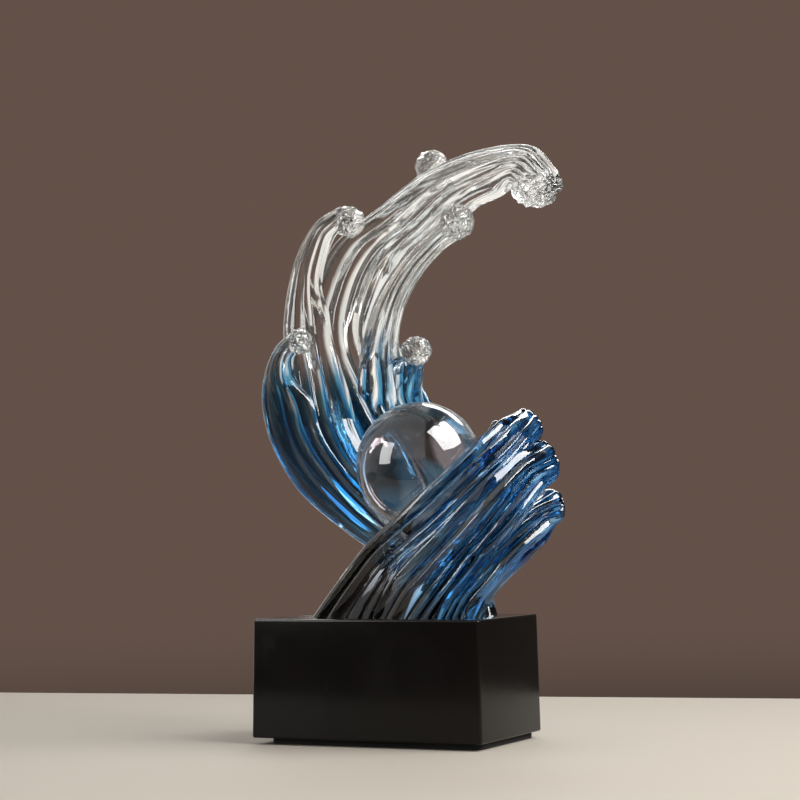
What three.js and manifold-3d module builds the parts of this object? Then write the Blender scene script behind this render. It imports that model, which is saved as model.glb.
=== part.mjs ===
// Resin wave sculpture: two crossing waves of cast resin on a black plinth, with a glass ball that lies
// loose in the hollow between them. Millimetres, +Z up. The origin lies under the middle of the plinth,
// at the underside of the base pad, +X runs along the long front of the plinth and -Y is its front.
import * as THREE from "three";
import { mergeVertices } from "three/addons/utils/BufferGeometryUtils.js";
import Module from "manifold-3d";

const wasm = await Module();
wasm.setup();

// Plinth and the pad under it
const PLINTH_LENGTH = 116;
const PLINTH_DEPTH = 72;
const PLINTH_HEIGHT = 55;
const PLINTH_DRAFT = 0.8; // how far each side leans in, from bottom to top
const PLINTH_CORNER = 1.4; // rounding of the upright corners
const PLINTH_EDGE = 1; // rounding of the top and bottom edges
const PAD_THICKNESS = 3;
const PAD_INSET = 4.8; // from the plinth's sides, if the pad lay under its middle
const PAD_OFFSET_X = 2.1; // from the middle of the plinth
const PAD_OFFSET_Y = 1.3;
const PAD_CORNER = 3;
const PAD_EDGE = 0.4;

// Glass ball and the hollow that it lies in
const BALL_DIAMETER = 60;
const BALL_CLEARANCE = 0.3;
const BALL_OFFSET_X = 12.5; // from the middle of the plinth
const BALL_OFFSET_Y = 2;
const BALL_SEAT_HEIGHT = 40.4; // from the plinth's top to the ball's lowest point

// Overall sizes of the waves, over their bands' edges and from the plinth's top up
const REAR_WAVE_LENGTH = 155; // from the low tongue to the tip of the crest
const REAR_WAVE_DEPTH = 47;
const REAR_WAVE_HEIGHT = 219;
const FRONT_WAVE_LENGTH = 119; // from the foot to the tips of the locks
const FRONT_WAVE_DEPTH = 44;
const FRONT_WAVE_HEIGHT = 93;

// Tenons under the waves' feet, and their sockets in the plinth
const FRONT_SCREW_SPACING = 36;
const REAR_SCREW_SPACING = 15;
const TENON_DEPTH = 14;
const TENON_WALL = 3; // round the inserts
const TENON_CORNER = 3;
const TENON_EDGE = 0.6;
const TENON_ROOT = 4; // how far a tenon runs up into its wave
const TENON_CLEARANCE = 0.3;
const SOCKET_FLOOR_GAP = 0.5; // under the end of a tenon

// Screws from below, with their washers and threaded inserts
const SCREW_DIAMETER = 5;
const SCREW_LENGTH = 30; // under the head
const SCREW_HEAD_RIM = 1.7; // how far the head stands out round the shank
const SCREW_HEAD_HEIGHT = 4;
const SCREW_POINT = 0.8; // chamfer at the end of the shank
const SCREW_KEY_WIDTH = 3.6; // across the corners of the head's six-sided recess
const SCREW_KEY_DEPTH = 2.2;
const SCREW_HOLE_CLEARANCE = 0.3;
const SCREW_END_GAP = 1; // from the end of a screw to the floor of the insert's hole
const WASHER_RIM = 2.2; // from the washer's hole to its outside
const WASHER_THICKNESS = 1;
const WASHER_CLEARANCE = 0.8; // round a washer in its counterbore
const INSERT_WALL = 1;
const INSERT_LENGTH = 10;
const INSERT_LAND = 3.3; // length of the full-width land at each end
const INSERT_GROOVE = 0.4; // depth of the groove between the lands
const INSERT_CLEARANCE = 0.2;
const SEAT_GAP = 0.1; // between faces that a screw pulls together

// Reeds that run along the waves
const REED_DEPTH = 0.15; // share of the band's half thickness
const REED_SPREAD = 0.3; // how far the reeds crowd from the band's edges on to its faces
const BAND_SQUARENESS = 2.4; // power of the band's rounded section, 2 is an ellipse

// Fineness of the facets
const RINGS_PER_STATION = 2;
const POINTS_PER_REED = 3;
const TIP_RINGS = 2;
const BEAD_DETAIL = 1;
const ROUND_SIDES = 12;
const KEY_SIDES = 6;
const BALL_SIDES = 32;
const CORNER_STEPS = 3;
const EDGE_STEPS = 2;
const EDGE_LIMIT = 0.9; // share of a corner's rounding that an edge's rounding may take
const CUT_OVERLAP = 2; // how far a cut runs past the face that it opens
const MERGE_DISTANCE = 1e-4;

// A place along a band as drawn: its two edges, from the middle of the plinth's top, and its thickness.
// A wave's drawing is stretched to the wave's overall sizes.
const station = (outer, inner, thickness) => ({ outer, inner, thickness });

// Rear wave: bands from the foot up, each as far as its tip. A band's first station lies under the flat
// of the foot or inside the band that it grows from.
const MAIN_CREST = [
  station([6, 18, -6], [45, 18, -6], 25),
  station([-5, 21, 25], [33, 24, 31], 25),
  station([-19, 22, 53], [21, 36, 64], 19),
  station([-35, 19, 77], [12, 40, 84], 18),
  station([-46, 17, 105], [1, 37, 106], 18),
  station([-54, 16, 134], [-11, 31, 134], 18),
  station([-51, 16, 158], [-4, 27, 153], 18),
  station([-38, 16, 180], [9, 22, 171], 17),
  station([-13, 15, 196], [24, 18, 181], 16),
  station([14, 12, 211], [39, 14, 192], 15),
  station([47, 9, 219], [53, 10, 196], 15),
  station([72, 6, 217], [60, 6, 199], 15),
  station([84, 2, 205], [66, 3, 197], 14),
];
const LEFT_TONGUE = [
  station([-7, 17, 26], [18, 23, 33], 18),
  station([-25, 15, 48], [-3, 22, 59], 16),
  station([-43, 11, 65], [-20, 20, 76], 15),
  station([-54, 9, 86], [-28, 18, 91], 15),
  station([-60, 8, 112], [-32, 17, 111], 14),
  station([-62, 7, 139], [-38, 16, 136], 14),
  station([-57, 6, 165], [-43, 13, 161], 13),
  station([-50, 4, 179], [-38, 9, 174], 12),
  station([-40, 2, 190], [-32, 5, 182], 11),
  station([-27, -1, 195], [-25, 1, 185], 10),
];
const LOW_TONGUE = [
  station([-11, 15, 25], [12, 20, 32], 18),
  station([-33, 11, 41], [-12, 17, 52], 16),
  station([-54, 6, 60], [-29, 14, 72], 15),
  station([-67, 3, 83], [-39, 12, 87], 14),
  station([-71, 1, 104], [-45, 10, 104], 13),
  station([-68, -1, 118], [-54, 5, 115], 12),
  station([-60, -4, 130], [-53, 0, 123], 10),
  station([-49, -7, 136], [-47, -5, 127], 9),
];
const FRONT_TONGUE = [
  station([-30, 24, 92], [-8, 33, 94], 10),
  station([-27, 17, 111], [-4, 26, 111], 13),
  station([-21, 10, 129], [-5, 18, 129], 13),
  station([-11, 5, 150], [3, 11, 149], 13),
  station([4, 2, 168], [15, 6, 163], 12),
  station([21, -2, 180], [28, 1, 172], 11),
  station([31, -5, 185], [36, -3, 175], 10),
];
const BACK_TONGUE = [
  station([-34, 21, 111], [-17, 28, 111], 10),
  station([-36, 28, 139], [-18, 33, 138], 12),
  station([-35, 31, 161], [-15, 35, 158], 12),
  station([-24, 32, 183], [-8, 35, 178], 12),
  station([-9, 32, 202], [2, 34, 195], 11),
  station([2, 32, 215], [10, 32, 208], 9),
];
const RIGHT_TONGUE = [
  station([-7, 31, 68], [10, 37, 71], 9),
  station([-11, 31, 90], [5, 37, 91], 12),
  station([-15, 26, 106], [1, 32, 105], 13),
  station([-12, 19, 119], [6, 22, 118], 12),
];
const REAR_BANDS = [
  { stations: MAIN_CREST, reeds: 12 },
  { stations: LEFT_TONGUE, reeds: 8 },
  { stations: LOW_TONGUE, reeds: 8 },
  { stations: FRONT_TONGUE, reeds: 6 },
  { stations: BACK_TONGUE, reeds: 6 },
  { stations: RIGHT_TONGUE, reeds: 6 },
];
const REAR_BEADS = [
  { centre: [70.5, -1, 195.6], radius: 8.3 },
  { centre: [78.6, -1.5, 195.2], radius: 8.2 },
  { centre: [37, -6, 183], radius: 9.1 },
  { centre: [8, 31, 217], radius: 8.6 },
  { centre: [-22, 0.4, 188], radius: 8 },
  { centre: [-46.2, -5.6, 131.5], radius: 6.7 },
  { centre: [4.6, 17, 126], radius: 7.8 },
];

// Front wave: three locks side by side, and the lip behind the upper one.
const UPPER_LOCK = [
  station([-41, -14, -6], [-1, -16, -6], 24),
  station([-20, -17, 18], [10, -18, 12], 24),
  station([-2, -21, 36], [22, -20, 26], 25),
  station([26, -25, 58], [41, -21, 40], 24),
  station([47, -14, 79], [60, -15, 59], 21),
  station([52, 2, 89], [66, -1, 72], 18),
  station([53, 19, 93], [68, 16, 82], 15),
];
const MIDDLE_LOCK = [
  station([-8, -18, -6], [27, -18, -6], 24),
  station([9, -21, 20], [42, -20, 10], 24),
  station([28, -24, 37], [55, -22, 25], 22),
  station([49, -24, 56], [71, -22, 40], 20),
  station([60, -8, 72], [77, -8, 55], 17),
  station([67, 10, 80], [77, 9, 62], 14),
];
const LOWER_LOCK = [
  station([19, -15, -6], [46, -13, -6], 24),
  station([34, -18, 16], [56, -16, 9], 22),
  station([49, -19, 30], [70, -17, 23], 19),
  station([62, -7, 46], [78, -3, 35], 16),
  station([73, 9, 58], [76, 12, 42], 14),
];
const INNER_LIP = [
  station([39, -9, 62], [54, -13, 65], 14),
  station([44, 3, 77], [55, 0, 76], 12),
  station([44, 14, 87], [55, 10, 85], 10),
];
const FRONT_BANDS = [
  { stations: UPPER_LOCK, reeds: 8 },
  { stations: MIDDLE_LOCK, reeds: 8 },
  { stations: LOWER_LOCK, reeds: 8 },
  { stations: INNER_LIP, reeds: 6 },
];

// Sizes and heights that follow from those above
const PLINTH_TOP = PAD_THICKNESS + PLINTH_HEIGHT;
const BALL_CENTRE = [BALL_OFFSET_X, BALL_OFFSET_Y, BALL_SEAT_HEIGHT + BALL_DIAMETER / 2];
const SCREW_HOLE_DIAMETER = SCREW_DIAMETER + 2 * SCREW_HOLE_CLEARANCE;
const WASHER_DIAMETER = SCREW_HOLE_DIAMETER + 2 * WASHER_RIM;
const INSERT_BORE = SCREW_DIAMETER + 2 * INSERT_CLEARANCE;
const INSERT_DIAMETER = INSERT_BORE + 2 * INSERT_WALL;
const INSERT_HOLE_DIAMETER = INSERT_DIAMETER + 2 * INSERT_CLEARANCE;
const INSERT_HOLE_DEPTH = INSERT_LENGTH + INSERT_CLEARANCE;
const SOCKET_DEPTH = TENON_DEPTH + SOCKET_FLOOR_GAP;
const TENON_END = PLINTH_HEIGHT - TENON_DEPTH; // from the plinth's bottom, as the next three are
const SCREW_SEAT = TENON_END + INSERT_HOLE_DEPTH - SCREW_END_GAP - SCREW_LENGTH;
const WASHER_SEAT = SCREW_SEAT + SEAT_GAP;
const COUNTERBORE_DEPTH = WASHER_SEAT + WASHER_THICKNESS + SEAT_GAP;

const point = (p) => new THREE.Vector3(...p);

// The box round the edges of some bands.
function edgeBox(bands) {
  const edges = bands.flatMap(({ stations }) => stations.flatMap((s) => [s.outer, s.inner]));
  return new THREE.Box3().setFromPoints(edges.map(point));
}

// A wave's drawing, stretched about the middle of the plinth's top to the wave's overall sizes.
function stretched(bands, beads, length, depth, height) {
  const drawn = edgeBox(bands);
  const span = drawn.getSize(new THREE.Vector3());
  const stretch = new THREE.Vector3(length / span.x, depth / span.y, height / drawn.max.z);
  const placed = (p) => point(p).multiply(stretch).toArray();
  return {
    bands: bands.map(({ stations, reeds }) => ({
      stations: stations.map((s) => station(placed(s.outer), placed(s.inner), s.thickness * stretch.y)),
      reeds,
    })),
    beads: beads.map(({ centre, radius }) => ({ centre: placed(centre), radius: radius * stretch.z })),
  };
}

// A tenon round two inserts, under the middle of the foot of the wave of that name.
function tenonOf(name, { bands }, spacing) {
  const feet = bands.map(({ stations }) => ({ stations: stations.slice(0, 1) }));
  const middle = edgeBox(feet.filter((foot) => edgeBox([foot]).min.z < 0)).getCenter(new THREE.Vector3());
  const width = INSERT_HOLE_DIAMETER + 2 * TENON_WALL;
  const screws = [-spacing / 2, spacing / 2].map((offset) => [middle.x + offset, middle.y]);
  return { name, place: [middle.x, middle.y], screws, length: spacing + width, width };
}

const REAR_WAVE = stretched(REAR_BANDS, REAR_BEADS, REAR_WAVE_LENGTH, REAR_WAVE_DEPTH, REAR_WAVE_HEIGHT);
const FRONT_WAVE = stretched(FRONT_BANDS, [], FRONT_WAVE_LENGTH, FRONT_WAVE_DEPTH, FRONT_WAVE_HEIGHT);
const REAR_TENON = tenonOf("rear_wave", REAR_WAVE, REAR_SCREW_SPACING);
const FRONT_TENON = tenonOf("front_wave", FRONT_WAVE, FRONT_SCREW_SPACING);

// A solid to join or cut, from a closed geometry.
function solidOf(geometry) {
  const bare = geometry.clone();
  bare.deleteAttribute("normal");
  bare.deleteAttribute("uv");
  const merged = mergeVertices(bare, MERGE_DISTANCE);
  return new wasm.Manifold(
    new wasm.Mesh({
      numProp: 3,
      vertProperties: merged.attributes.position.array,
      triVerts: new Uint32Array(merged.index.array),
    }),
  );
}

// The geometry of a joined or cut solid.
function geometryOf(solid) {
  const mesh = solid.getMesh();
  const geometry = new THREE.BufferGeometry();
  geometry.setAttribute("position", new THREE.BufferAttribute(mesh.vertProperties, 3));
  geometry.setIndex(new THREE.BufferAttribute(mesh.triVerts, 1));
  geometry.computeVertexNormals();
  return geometry;
}

// A closed skin over rings of points, each ring with as many points, capped at both ends.
function skin(rings) {
  const count = rings[0].length;
  const points = rings.flat();
  const index = [];
  for (let ring = 0; ring + 1 < rings.length; ring += 1) {
    for (let j = 0; j < count; j += 1) {
      const a = ring * count + j;
      const b = ring * count + ((j + 1) % count);
      index.push(a, b, b + count, a, b + count, a + count);
    }
  }
  const addCap = (ring, start, turned) => {
    const middle = new THREE.Vector3();
    ring.forEach((p) => middle.addScaledVector(p, 1 / count));
    const hub = points.push(middle) - 1;
    for (let j = 0; j < count; j += 1) {
      const a = start + j;
      const b = start + ((j + 1) % count);
      index.push(hub, ...(turned ? [b, a] : [a, b]));
    }
  };
  addCap(rings[0], 0, true);
  addCap(rings[rings.length - 1], (rings.length - 1) * count, false);
  const geometry = new THREE.BufferGeometry().setFromPoints(points);
  geometry.setIndex(index);
  return geometry;
}

// An upright block with rounded corners and edges, whose sides lean in by a draft towards its top.
function roundedBlock({ length, depth, height, corner, edge, draft = 0 }) {
  const rounding = Math.min(edge, EDGE_LIMIT * corner);
  const ringAt = (z, inset) => {
    const radius = corner - inset;
    const lean = (draft * z) / height;
    const x = length / 2 - corner - lean;
    const y = depth / 2 - corner - lean;
    const ring = [];
    [[x, y], [-x, y], [-x, -y], [x, -y]].forEach(([cx, cy], quarter) => {
      for (let step = 0; step <= CORNER_STEPS; step += 1) {
        const angle = (Math.PI / 2) * (quarter + step / CORNER_STEPS);
        ring.push(new THREE.Vector3(cx + radius * Math.cos(angle), cy + radius * Math.sin(angle), z));
      }
    });
    return ring;
  };
  const rings = [];
  for (let step = 0; step <= EDGE_STEPS; step += 1) {
    const angle = (Math.PI / 2) * (step / EDGE_STEPS);
    rings.push(ringAt(rounding * (1 - Math.cos(angle)), rounding * (1 - Math.sin(angle))));
  }
  for (let step = EDGE_STEPS; step >= 0; step -= 1) {
    const angle = (Math.PI / 2) * (step / EDGE_STEPS);
    rings.push(ringAt(height - rounding * (1 - Math.cos(angle)), rounding * (1 - Math.sin(angle))));
  }
  return skin(rings);
}

// An upright cylinder from one height to another.
function cylinder(diameter, bottom, top, sides = ROUND_SIDES) {
  const geometry = new THREE.CylinderGeometry(diameter / 2, diameter / 2, top - bottom, sides);
  geometry.rotateX(Math.PI / 2);
  return geometry.translate(0, 0, (top + bottom) / 2);
}

// A turned piece about +Z, from a profile of [radius, height] points.
function turned(profile) {
  const geometry = new THREE.LatheGeometry(
    profile.map(([radius, height]) => new THREE.Vector2(radius, height)),
    ROUND_SIDES,
  );
  return geometry.rotateX(Math.PI / 2);
}

// One section of a band: a rounded oblong whose rim rises into reeds with sharp valleys between them.
function bandRing(middle, half, normal, halfThickness, reeds) {
  const ring = [];
  const count = reeds * POINTS_PER_REED;
  for (let j = 0; j < count; j += 1) {
    const turn = (2 * Math.PI * (j + 0.5)) / count;
    const angle = turn + REED_SPREAD * Math.sin(2 * turn);
    const reed = Math.abs(Math.cos((turn * reeds) / 2));
    const rim = 1 - REED_DEPTH * (1 - reed);
    const across = Math.sign(Math.cos(angle)) * Math.abs(Math.cos(angle)) ** (2 / BAND_SQUARENESS);
    const through = Math.sign(Math.sin(angle)) * Math.abs(Math.sin(angle)) ** (2 / BAND_SQUARENESS);
    ring.push(
      middle
        .clone()
        .addScaledVector(half, across * rim)
        .addScaledVector(normal, through * rim * halfThickness),
    );
  }
  return ring;
}

// A reeded band through its stations, with a rounded tip past the last one.
function band({ stations, reeds }) {
  const outer = new THREE.CatmullRomCurve3(stations.map((s) => point(s.outer)));
  const inner = new THREE.CatmullRomCurve3(stations.map((s) => point(s.inner)));
  const thickness = new THREE.CatmullRomCurve3(
    stations.map((s, i) => new THREE.Vector3(i, s.thickness, 0)),
  );
  const steps = (stations.length - 1) * RINGS_PER_STATION;
  const rings = [];
  for (let step = 0; step <= steps; step += 1) {
    const u = step / steps;
    const middle = outer.getPoint(u).lerp(inner.getPoint(u), 0.5);
    const half = inner.getPoint(u).sub(outer.getPoint(u)).multiplyScalar(0.5);
    const along = outer.getTangent(u).add(inner.getTangent(u)).normalize();
    const normal = along.clone().cross(half).normalize();
    const halfThickness = thickness.getPoint(u).y / 2;
    rings.push(bandRing(middle, half, normal, halfThickness, reeds));
    if (step < steps) continue;
    for (let tip = 1; tip <= TIP_RINGS; tip += 1) {
      const angle = (Math.PI / 2) * (tip / (TIP_RINGS + 1));
      const place = middle.clone().addScaledVector(along, halfThickness * Math.sin(angle));
      const share = Math.cos(angle);
      rings.push(bandRing(place, half.clone().multiplyScalar(share), normal, halfThickness * share, reeds));
    }
  }
  return skin(rings);
}

// A faceted crystal bead at the tip of a tongue.
function bead({ centre, radius }) {
  return new THREE.IcosahedronGeometry(radius, BEAD_DETAIL).translate(...centre);
}

// A sphere with its poles up, about its own middle.
function sphere(radius) {
  return new THREE.SphereGeometry(radius, BALL_SIDES, BALL_SIDES / 2).rotateX(Math.PI / 2);
}

// A wave with its foot cut flat, the ball's hollow cut out, and a tenon with holes for inserts below.
function wave({ bands, beads }, tenon) {
  const pieces = [...bands.map(band), ...beads.map(bead)];
  let solid = pieces.map(solidOf).reduce((whole, piece) => whole.add(piece));
  solid = solid.trimByPlane([0, 0, 1], 0);
  const flatShare = Math.cos(Math.PI / BALL_SIDES) ** 2; // the facets' middles lie nearer than the corners
  const hollow = sphere((BALL_DIAMETER / 2 + BALL_CLEARANCE) / flatShare);
  solid = solid.subtract(solidOf(hollow.translate(...BALL_CENTRE)));
  const block = roundedBlock({
    length: tenon.length,
    depth: tenon.width,
    height: TENON_DEPTH + TENON_ROOT,
    corner: TENON_CORNER,
    edge: TENON_EDGE,
  });
  solid = solid.add(solidOf(block.translate(...tenon.place, -TENON_DEPTH)));
  tenon.screws.forEach(([x, y]) => {
    const hole = cylinder(
      INSERT_HOLE_DIAMETER,
      -TENON_DEPTH - CUT_OVERLAP,
      -TENON_DEPTH + INSERT_HOLE_DEPTH,
    );
    solid = solid.subtract(solidOf(hole.translate(x, y, 0)));
  });
  return geometryOf(solid);
}

// The plinth, with a socket for each tenon above and counterbored screw holes below.
function plinth(tenons) {
  const body = roundedBlock({
    length: PLINTH_LENGTH,
    depth: PLINTH_DEPTH,
    height: PLINTH_HEIGHT,
    corner: PLINTH_CORNER,
    edge: PLINTH_EDGE,
    draft: PLINTH_DRAFT,
  });
  let solid = solidOf(body);
  tenons.forEach((tenon) => {
    const socket = roundedBlock({
      length: tenon.length + 2 * TENON_CLEARANCE,
      depth: tenon.width + 2 * TENON_CLEARANCE,
      height: SOCKET_DEPTH + TENON_EDGE + CUT_OVERLAP,
      corner: TENON_CORNER + TENON_CLEARANCE,
      edge: TENON_EDGE,
    });
    solid = solid.subtract(solidOf(socket.translate(...tenon.place, PLINTH_HEIGHT - SOCKET_DEPTH)));
    tenon.screws.forEach(([x, y]) => {
      const hole = cylinder(SCREW_HOLE_DIAMETER, -CUT_OVERLAP, PLINTH_HEIGHT);
      const counterbore = cylinder(
        WASHER_DIAMETER + 2 * WASHER_CLEARANCE,
        -CUT_OVERLAP,
        COUNTERBORE_DEPTH,
      );
      solid = solid.subtract(solidOf(hole.translate(x, y, 0)));
      solid = solid.subtract(solidOf(counterbore.translate(x, y, 0)));
    });
  });
  return geometryOf(solid);
}

// A screw with its head down, from the underside of its head up, with a six-sided recess.
function screw() {
  const shank = SCREW_DIAMETER / 2;
  const head = shank + SCREW_HEAD_RIM;
  const body = turned([
    [0, -SCREW_HEAD_HEIGHT],
    [head, -SCREW_HEAD_HEIGHT],
    [head, 0],
    [shank, 0],
    [shank, SCREW_LENGTH - SCREW_POINT],
    [shank - SCREW_POINT, SCREW_LENGTH],
    [0, SCREW_LENGTH],
  ]);
  const key = cylinder(
    SCREW_KEY_WIDTH,
    -SCREW_HEAD_HEIGHT - CUT_OVERLAP,
    -SCREW_HEAD_HEIGHT + SCREW_KEY_DEPTH,
    KEY_SIDES,
  );
  return geometryOf(solidOf(body).subtract(solidOf(key)));
}

// A flat washer that lies on its lower face.
function washer() {
  const inner = SCREW_HOLE_DIAMETER / 2;
  const outer = WASHER_DIAMETER / 2;
  return turned([
    [inner, 0],
    [outer, 0],
    [outer, WASHER_THICKNESS],
    [inner, WASHER_THICKNESS],
    [inner, 0],
  ]);
}

// A threaded insert with a groove between two lands, from its lower face up.
function insert() {
  const inner = INSERT_BORE / 2;
  const outer = INSERT_DIAMETER / 2;
  return turned([
    [inner, 0],
    [outer, 0],
    [outer, INSERT_LAND],
    [outer - INSERT_GROOVE, INSERT_LAND],
    [outer - INSERT_GROOVE, INSERT_LENGTH - INSERT_LAND],
    [outer, INSERT_LENGTH - INSERT_LAND],
    [outer, INSERT_LENGTH],
    [inner, INSERT_LENGTH],
    [inner, 0],
  ]);
}

const lacquer = { color: 0x15120f, roughness: 0.28, metalness: 0 };
const foam = { color: 0x0b0b0b, roughness: 0.95, metalness: 0 };
const blueResin = { color: 0x1f4f86, roughness: 0.06, metalness: 0 };
const clearResin = { color: 0x9db4c6, roughness: 0.06, metalness: 0 };
const glass = { color: 0xb9c4cc, roughness: 0.02, metalness: 0 };
const steel = { color: 0x9a9c9e, roughness: 0.35, metalness: 1 };
const brass = { color: 0xb08d48, roughness: 0.35, metalness: 1 };

const sculpture = new THREE.Group();

// Adds a named piece to a group, at a place in it.
function addPiece(group, name, geometry, finish, place = [0, 0, 0]) {
  const mesh = new THREE.Mesh(geometry, new THREE.MeshStandardMaterial(finish));
  mesh.name = name;
  mesh.position.set(...place);
  group.add(mesh);
}

const pad = roundedBlock({
  length: PLINTH_LENGTH - 2 * PAD_INSET,
  depth: PLINTH_DEPTH - 2 * PAD_INSET,
  height: PAD_THICKNESS,
  corner: PAD_CORNER,
  edge: PAD_EDGE,
});
addPiece(sculpture, "base_pad", pad, foam, [PAD_OFFSET_X, PAD_OFFSET_Y, 0]);
addPiece(sculpture, "plinth", plinth([FRONT_TENON, REAR_TENON]), lacquer, [0, 0, PAD_THICKNESS]);

const abovePlinth = new THREE.Group();
abovePlinth.position.z = PLINTH_TOP;
sculpture.add(abovePlinth);
addPiece(abovePlinth, "front_wave", wave(FRONT_WAVE, FRONT_TENON), blueResin);
addPiece(abovePlinth, "rear_wave", wave(REAR_WAVE, REAR_TENON), clearResin);
addPiece(abovePlinth, "glass_ball", sphere(BALL_DIAMETER / 2), glass, BALL_CENTRE);

const fixings = new THREE.Group();
fixings.position.z = PAD_THICKNESS;
sculpture.add(fixings);
[FRONT_TENON, REAR_TENON].forEach(({ name, screws }) => {
  screws.forEach(([x, y], i) => {
    addPiece(fixings, `${name}_screw_${i + 1}`, screw(), steel, [x, y, SCREW_SEAT]);
    addPiece(fixings, `${name}_washer_${i + 1}`, washer(), steel, [x, y, WASHER_SEAT]);
    addPiece(fixings, `${name}_insert_${i + 1}`, insert(), brass, [x, y, TENON_END]);
  });
});

export default sculpture;
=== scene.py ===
"""The looks of a resin wave sculpture.

Two waves of cast resin cross on a black lacquered plinth, and a glass ball lies in the hollow between
them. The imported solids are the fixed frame. The waves are drawn again here through the same stations,
with finer reeds and crackled beads, and every surface gets its finish.
"""

import logging
import math
from collections.abc import Iterable
from dataclasses import dataclass, field
from enum import Enum

import bmesh
import bpy
import numpy as np
from mathutils import Matrix, Vector, kdtree

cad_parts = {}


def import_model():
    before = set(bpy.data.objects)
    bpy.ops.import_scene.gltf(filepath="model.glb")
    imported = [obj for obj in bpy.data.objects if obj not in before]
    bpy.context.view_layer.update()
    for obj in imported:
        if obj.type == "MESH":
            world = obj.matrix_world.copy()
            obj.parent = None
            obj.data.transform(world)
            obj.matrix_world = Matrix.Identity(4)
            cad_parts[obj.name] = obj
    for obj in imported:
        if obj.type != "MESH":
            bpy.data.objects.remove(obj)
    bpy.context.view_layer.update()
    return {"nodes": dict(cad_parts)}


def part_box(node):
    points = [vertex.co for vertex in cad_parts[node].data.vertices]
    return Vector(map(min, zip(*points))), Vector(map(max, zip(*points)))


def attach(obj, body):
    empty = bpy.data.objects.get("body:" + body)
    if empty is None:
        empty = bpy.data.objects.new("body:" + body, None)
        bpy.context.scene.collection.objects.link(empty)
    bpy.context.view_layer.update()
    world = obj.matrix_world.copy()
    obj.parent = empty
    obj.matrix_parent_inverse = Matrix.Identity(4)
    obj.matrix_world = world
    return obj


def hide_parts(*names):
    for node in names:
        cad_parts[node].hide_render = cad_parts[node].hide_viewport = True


LOG = logging.getLogger("resin_wave")
MM = 0.001

Point = tuple[float, float, float]
Colour = tuple[float, float, float]
Span = tuple[float, float]
Faces = list[tuple[int, ...]]
Socket = bpy.types.NodeSocket
Material = bpy.types.Material
Piece = bpy.types.Object

UP = (0.0, 0.0, 1.0)


class Slot(Enum):
    """Material slot names, which each wave holds but no piece is given here."""

    LACQUER = "black_lacquer"
    FOAM = "pad_foam"
    BLUE_RESIN = "blue_resin"
    CLEAR_RESIN = "clear_resin"
    GLASS = "ball_glass"


class Body(Enum):
    """The bodies that pieces ride on."""

    STAND = "stand"
    BALL = "ball"


class Cut(Enum):
    """Ways to put one closed mesh together with another."""

    JOIN = "UNION"
    REMOVE = "DIFFERENCE"


class Skin(Enum):
    """Places of a wave's finishes among its material slots."""

    RESIN = 0
    # The faces that take the painted shade coat.
    SHADE_COAT = 1
    BEAD = 2


class Kind(Enum):
    """Kinds of sockets on a shared effect."""

    VALUE = "NodeSocketFloat"
    VECTOR = "NodeSocketVector"
    COLOUR = "NodeSocketColor"


def opaque(colour: Colour) -> tuple[float, float, float, float]:
    """The colour with full alpha."""
    return (*colour, 1.0)


class NodeSheet:
    """A node tree, with short calls that add nodes and join them."""

    MIX_FACTOR, MIX_FIRST, MIX_SECOND, MIX_RESULT = 0, 6, 7, 2

    def __init__(self, tree: bpy.types.NodeTree) -> None:
        """Keeps the tree that the nodes go into."""
        self.tree = tree

    def feed(self, socket: Socket, source: object) -> None:
        """Joins a socket to another node's output, or sets its own value.

        Args:
            socket: The socket.
            source: An output or a plain value.
        """
        if isinstance(source, bpy.types.NodeSocket):
            self.tree.links.new(source, socket)
        else:
            socket.default_value = source

    def add(self, kind: str, feeds: dict | None = None, **settings: object) -> bpy.types.Node:
        """Adds a node.

        Args:
            kind: The node's type, without the start that all shader nodes share.
            feeds: Outputs or plain values for its inputs, by their names or numbers.
            settings: Properties of the node to set.

        Returns:
            The new node.
        """
        node = self.tree.nodes.new("ShaderNode" + kind)
        for name, value in settings.items():
            setattr(node, name, value)
        for key, source in (feeds or {}).items():
            self.feed(node.inputs[key], source)
        return node

    def math(self, operation: str, first: object, second: object) -> Socket:
        """The result of a sum of two values or outputs."""
        return self.add("Math", {0: first, 1: second}, operation=operation).outputs[0]

    def vector(self, operation: str, first: object, second: object, result: str = "Value") -> Socket:
        """The result of a sum of two vectors or outputs."""
        return self.add("VectorMath", {0: first, 1: second}, operation=operation).outputs[result]

    def share(self, value: Socket, low: object, high: object) -> Socket:
        """The share of the way that a value has come, from 0 at low to 1 at high."""
        feeds = {"Value": value, "From Min": low, "From Max": high}
        return self.add("MapRange", feeds, interpolation_type="SMOOTHSTEP").outputs[0]

    def blend(self, share: object, first: object, second: object) -> Socket:
        """The mix of two colours or outputs, by the share of the second."""
        feeds = {self.MIX_FACTOR: share, self.MIX_FIRST: first, self.MIX_SECOND: second}
        return self.add("Mix", feeds, data_type="RGBA").outputs[self.MIX_RESULT]

    def noise(self, place: Socket, scale: object, detail: float, stir: float = 0.0) -> Socket:
        """A cloudy pattern, about 0.5 in the mean, with scale clouds in each unit of the place."""
        feeds = {"Vector": place, "Scale": scale, "Detail": detail, "Distortion": stir}
        return self.add("TexNoise", feeds).outputs[0]

    def bump(self, height: Socket, strength: float, distance: float) -> Socket:
        """A normal that a height pattern tilts, by its strength and its height in metres."""
        feeds = {"Height": height, "Strength": strength, "Distance": distance}
        return self.add("Bump", feeds).outputs[0]


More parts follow.
